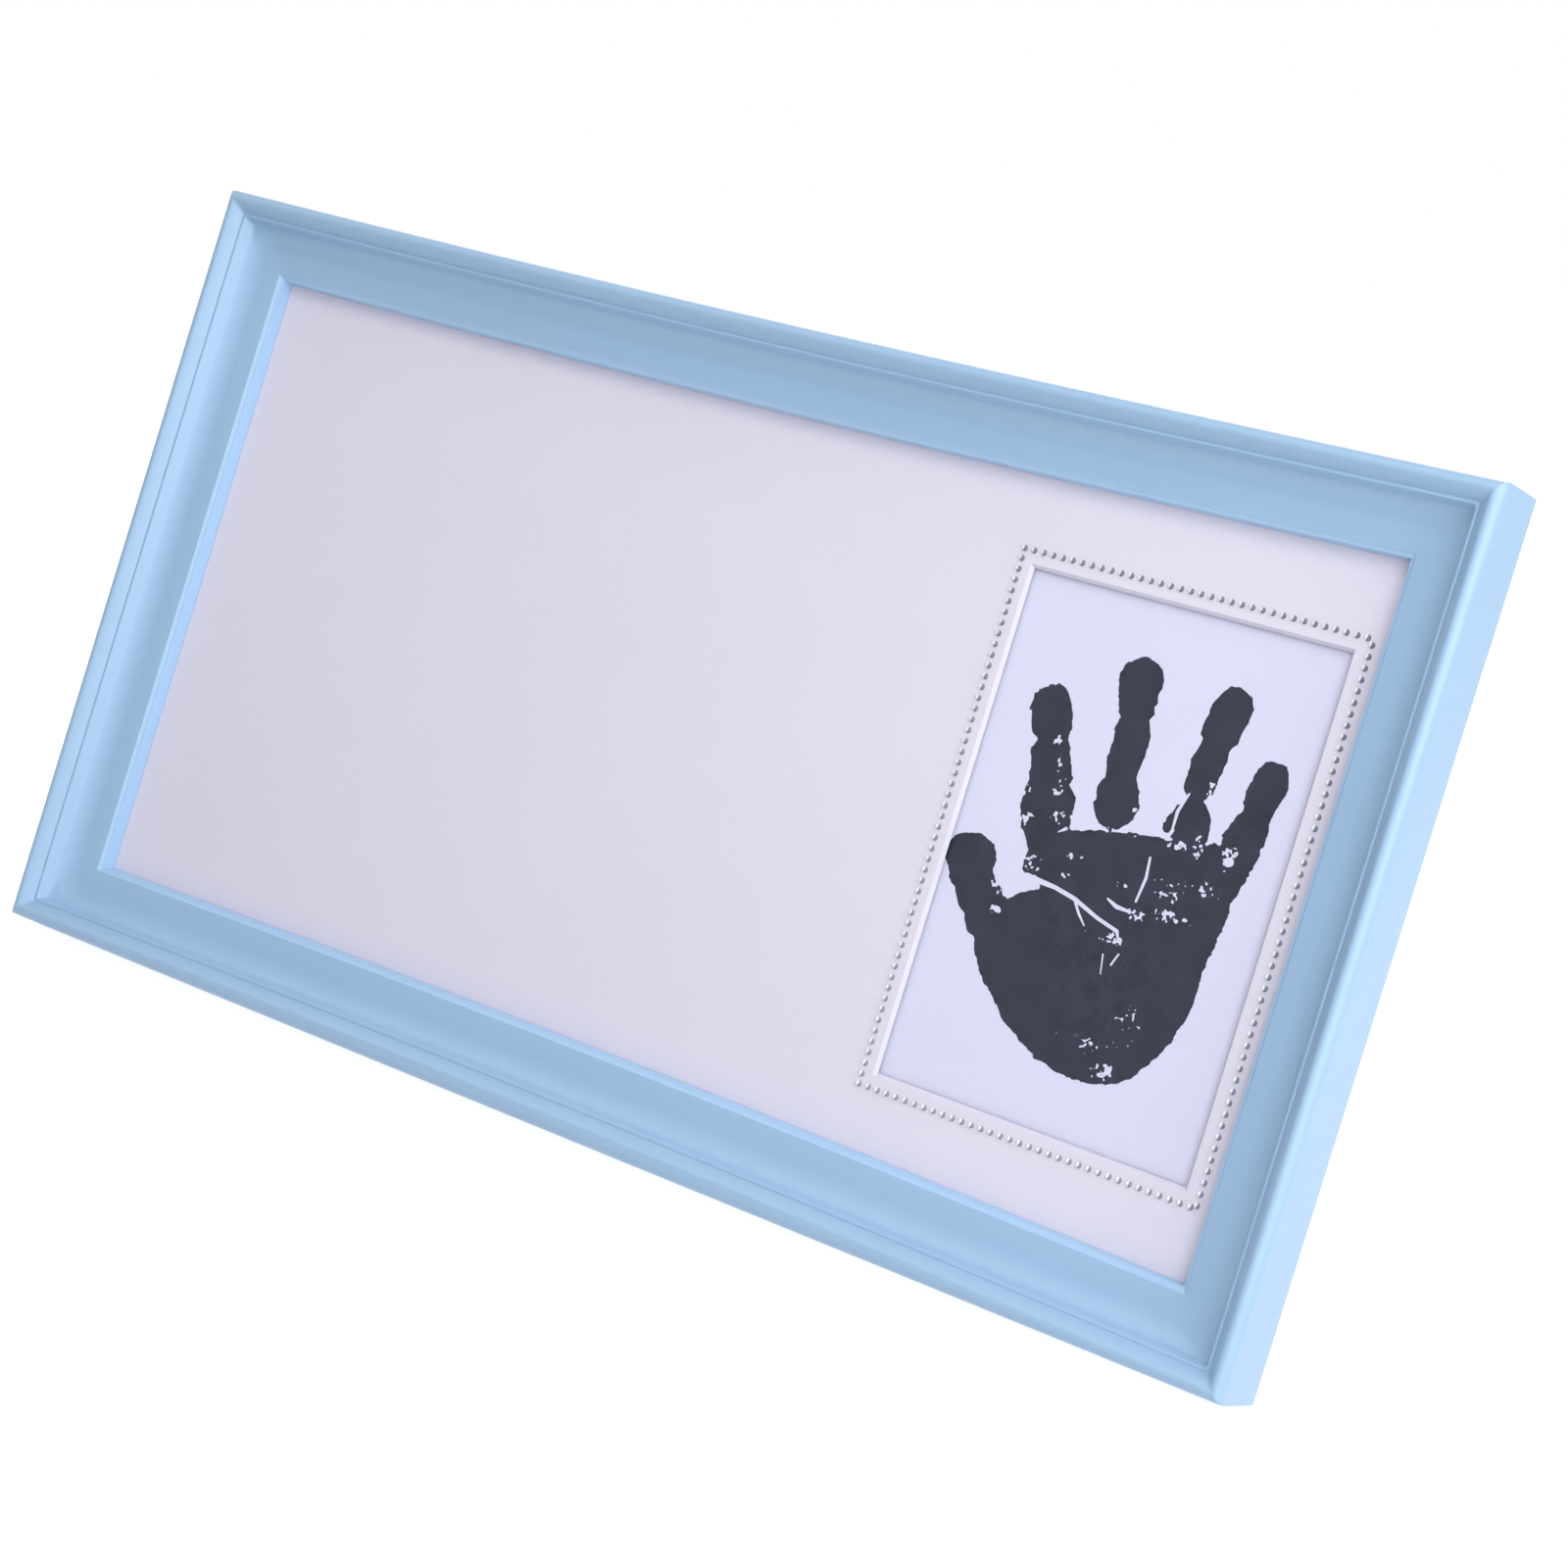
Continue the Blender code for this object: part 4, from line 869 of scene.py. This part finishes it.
def dress_nodes(nodes):
    """Gives every CAD node that stays in view its material."""
    back = span(nodes["back_board"], OUT)[0]
    long_grain = (0.05, 1.0, 1.0)
    short_grain = (1.0, 1.0, 0.05)
    give(moulding_material("blue_paint_long", long_grain, back), nodes["top_rail"], nodes["bottom_rail"])
    give(moulding_material("blue_paint_short", short_grain, back), nodes["left_rail"], nodes["right_rail"])
    give(card_material("smooth_print_card", (0.735, 0.745, 0.950), 0.0005, 0.02, 0.7), nodes["print_card"])
    give(card_material("grey_filler_board", (0.42, 0.38, 0.32), 0.001, 0.12, 0.9), nodes["filler_card"])
    give(glazing_material(), nodes["glazing_sheet"])
    give(hardboard_material(), nodes["back_board"], nodes["easel_strut"])
    zinc = plated_material("zinc_plate", (0.66, 0.67, 0.69), (0.60, 0.62, 0.68))
    zinc_names = ("corner_nail", "button_screw", "sawtooth", "hanger", "hinge")
    yellow = plated_material("yellow_zinc_plate", (0.76, 0.60, 0.30), (0.70, 0.58, 0.36))
    for name, node in nodes.items():
        if name.startswith("turn_button"):
            give(yellow, node)
        elif name.startswith(zinc_names) or "rivet" in name:
            give(zinc, node)


def build_floor():
    """A white floor that shows as white paper and keeps a soft shadow."""
    bm = bmesh.new()
    bmesh.ops.create_grid(bm, x_segments=8, y_segments=8, size=FLOOR_HALF_SIZE)
    mesh = bpy.data.meshes.new("floor")
    bm.to_mesh(mesh)
    bm.free()
    floor = bpy.data.objects.new("floor", mesh)
    bpy.context.scene.collection.objects.link(floor)
    floor.location = (0.0, 0.0, -FLOOR_GAP)
    material = bpy.data.materials.new("white_floor")
    material.use_nodes = True
    tree = material.node_tree
    tree.nodes.remove(tree.nodes["Principled BSDF"])
    diffuse = tree.nodes.new("ShaderNodeBsdfDiffuse")
    diffuse.inputs["Color"].default_value = (0.80, 0.80, 0.80, 1.0)
    glow = tree.nodes.new("ShaderNodeEmission")
    glow.inputs["Color"].default_value = (1.0, 1.0, 1.0, 1.0)
    rays = tree.nodes.new("ShaderNodeLightPath")
    seen = tree.nodes.new("ShaderNodeMath")
    seen.operation = "MAXIMUM"
    tree.links.new(rays.outputs["Is Camera Ray"], seen.inputs[0])
    tree.links.new(rays.outputs["Is Glossy Ray"], seen.inputs[1])
    strength = tree.nodes.new("ShaderNodeMath")
    strength.operation = "MULTIPLY"
    tree.links.new(seen.outputs["Value"], strength.inputs[0])
    strength.inputs[1].default_value = FLOOR_GLOW
    tree.links.new(strength.outputs["Value"], glow.inputs["Strength"])
    both = tree.nodes.new("ShaderNodeAddShader")
    tree.links.new(diffuse.outputs["BSDF"], both.inputs[0])
    tree.links.new(glow.outputs["Emission"], both.inputs[1])
    tree.links.new(both.outputs["Shader"], tree.nodes["Material Output"].inputs["Surface"])
    floor.data.materials.append(material)


def build_world():
    """Soft light all round, and plain white wherever the camera or a mirror sees past the floor."""
    world = bpy.data.worlds.new("studio")
    bpy.context.scene.world = world
    world.use_nodes = True
    tree = world.node_tree
    background = tree.nodes["Background"]
    background.inputs["Color"].default_value = (1.0, 1.0, 1.0, 1.0)
    rays = tree.nodes.new("ShaderNodeLightPath")
    seen = rays.outputs["Is Camera Ray"]
    for name in ("Is Glossy Ray", "Is Transmission Ray"):
        either = tree.nodes.new("ShaderNodeMath")
        either.operation = "MAXIMUM"
        tree.links.new(seen, either.inputs[0])
        tree.links.new(rays.outputs[name], either.inputs[1])
        seen = either.outputs["Value"]
    strength = tree.nodes.new("ShaderNodeMapRange")
    tree.links.new(seen, strength.inputs["Value"])
    strength.inputs["To Min"].default_value = SOFT_LIGHT
    strength.inputs["To Max"].default_value = 1.0
    tree.links.new(strength.outputs["Result"], background.inputs["Strength"])


def add_lamp(name, position, target, size, power):
    data = bpy.data.lights.new(name, "AREA")
    data.shape = "SQUARE"
    data.size = size
    data.energy = power
    lamp = bpy.data.objects.new(name, data)
    bpy.context.scene.collection.objects.link(lamp)
    lamp.visible_camera = False
    lamp.location = position
    lamp.rotation_euler = (target - position).to_track_quat("-Z", "Y").to_euler()


def lamp_place(degrees_right, degrees_up):
    """A place round the frame, from its own outward axis to the right and then up."""
    right, up = math.radians(degrees_right), math.radians(degrees_up)
    level = LAMP_DISTANCE * math.cos(up)
    return place(level * math.sin(right), LAMP_DISTANCE * math.sin(up), level * math.cos(right))


def build_lamps(target):
    """Broad soft lamps to the right and behind, and smaller ones above and in front."""
    lamps = (
        ("front", 15.0, 0.0, 0.6, 0.8),
        ("key", 65.0, 0.0, 1.3, 13.1),
        ("side", 85.0, 0.0, 1.3, 2.8),
        ("high", 0.0, 40.0, 0.9, 2.6),
        ("high_right", 50.0, 45.0, 1.0, 6.5),
        ("high_left", -50.0, 50.0, 0.9, 2.1),
        ("back", -160.0, 25.0, 1.3, 9.0),
    )
    for name, degrees_right, degrees_up, size, power in lamps:
        add_lamp(name, target + lamp_place(degrees_right, degrees_up), target, size, power)


def turn(angle, axis):
    return Matrix.Rotation(angle, 3, axis)


def build_camera(crown_middle):
    """Sets the camera by its turn about the frame's crown middle and its distance from there."""
    spin = turn(CAMERA_ROLL, "Z") @ turn(CAMERA_PITCH, "X") @ turn(CAMERA_YAW, "Y")
    flip = Matrix.Diagonal((1.0, -1.0, -1.0))
    axes = Matrix((RIGHT, UP, OUT)).transposed()
    to_row = axes @ flip @ spin.transposed()
    eye = crown_middle - to_row @ CAMERA_OFFSET
    rotation = to_row @ flip
    data = bpy.data.cameras.new("camera")
    data.sensor_width = SENSOR_WIDTH
    data.lens = SENSOR_WIDTH * FOCAL_PIXELS / IMAGE_PIXELS
    data.clip_start = 0.01
    camera = bpy.data.objects.new("camera", data)
    bpy.context.scene.collection.objects.link(camera)
    camera.matrix_world = Matrix.Translation(eye) @ rotation.to_4x4()
    bpy.context.scene.camera = camera


def corners(box):
    return [list(corner) for corner in box]


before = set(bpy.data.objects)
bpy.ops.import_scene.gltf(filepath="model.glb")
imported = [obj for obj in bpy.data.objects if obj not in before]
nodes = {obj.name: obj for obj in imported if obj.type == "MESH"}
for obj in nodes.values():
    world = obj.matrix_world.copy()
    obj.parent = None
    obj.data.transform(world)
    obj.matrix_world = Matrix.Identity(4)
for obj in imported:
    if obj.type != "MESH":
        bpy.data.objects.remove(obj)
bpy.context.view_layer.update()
dress_nodes(nodes)
build_coat(nodes, paint_material("sky_blue_paint", 1.0), paint_material("sky_blue_lip_painted_light", LIP_PAINTED_LIGHT))
build_mat(nodes, mat_material())
build_pearls(nodes, pearl_material(*span(nodes["bead_strip_left"], UP)))
build_handprint(nodes["print_card"], ink_material())
crown_middle = place(0.0, middle(nodes["back_board"], UP), span(nodes["left_rail"], OUT)[1])
build_floor()
build_world()
build_lamps(crown_middle)
build_camera(crown_middle)
bpy.context.scene.view_settings.view_transform = "Standard"
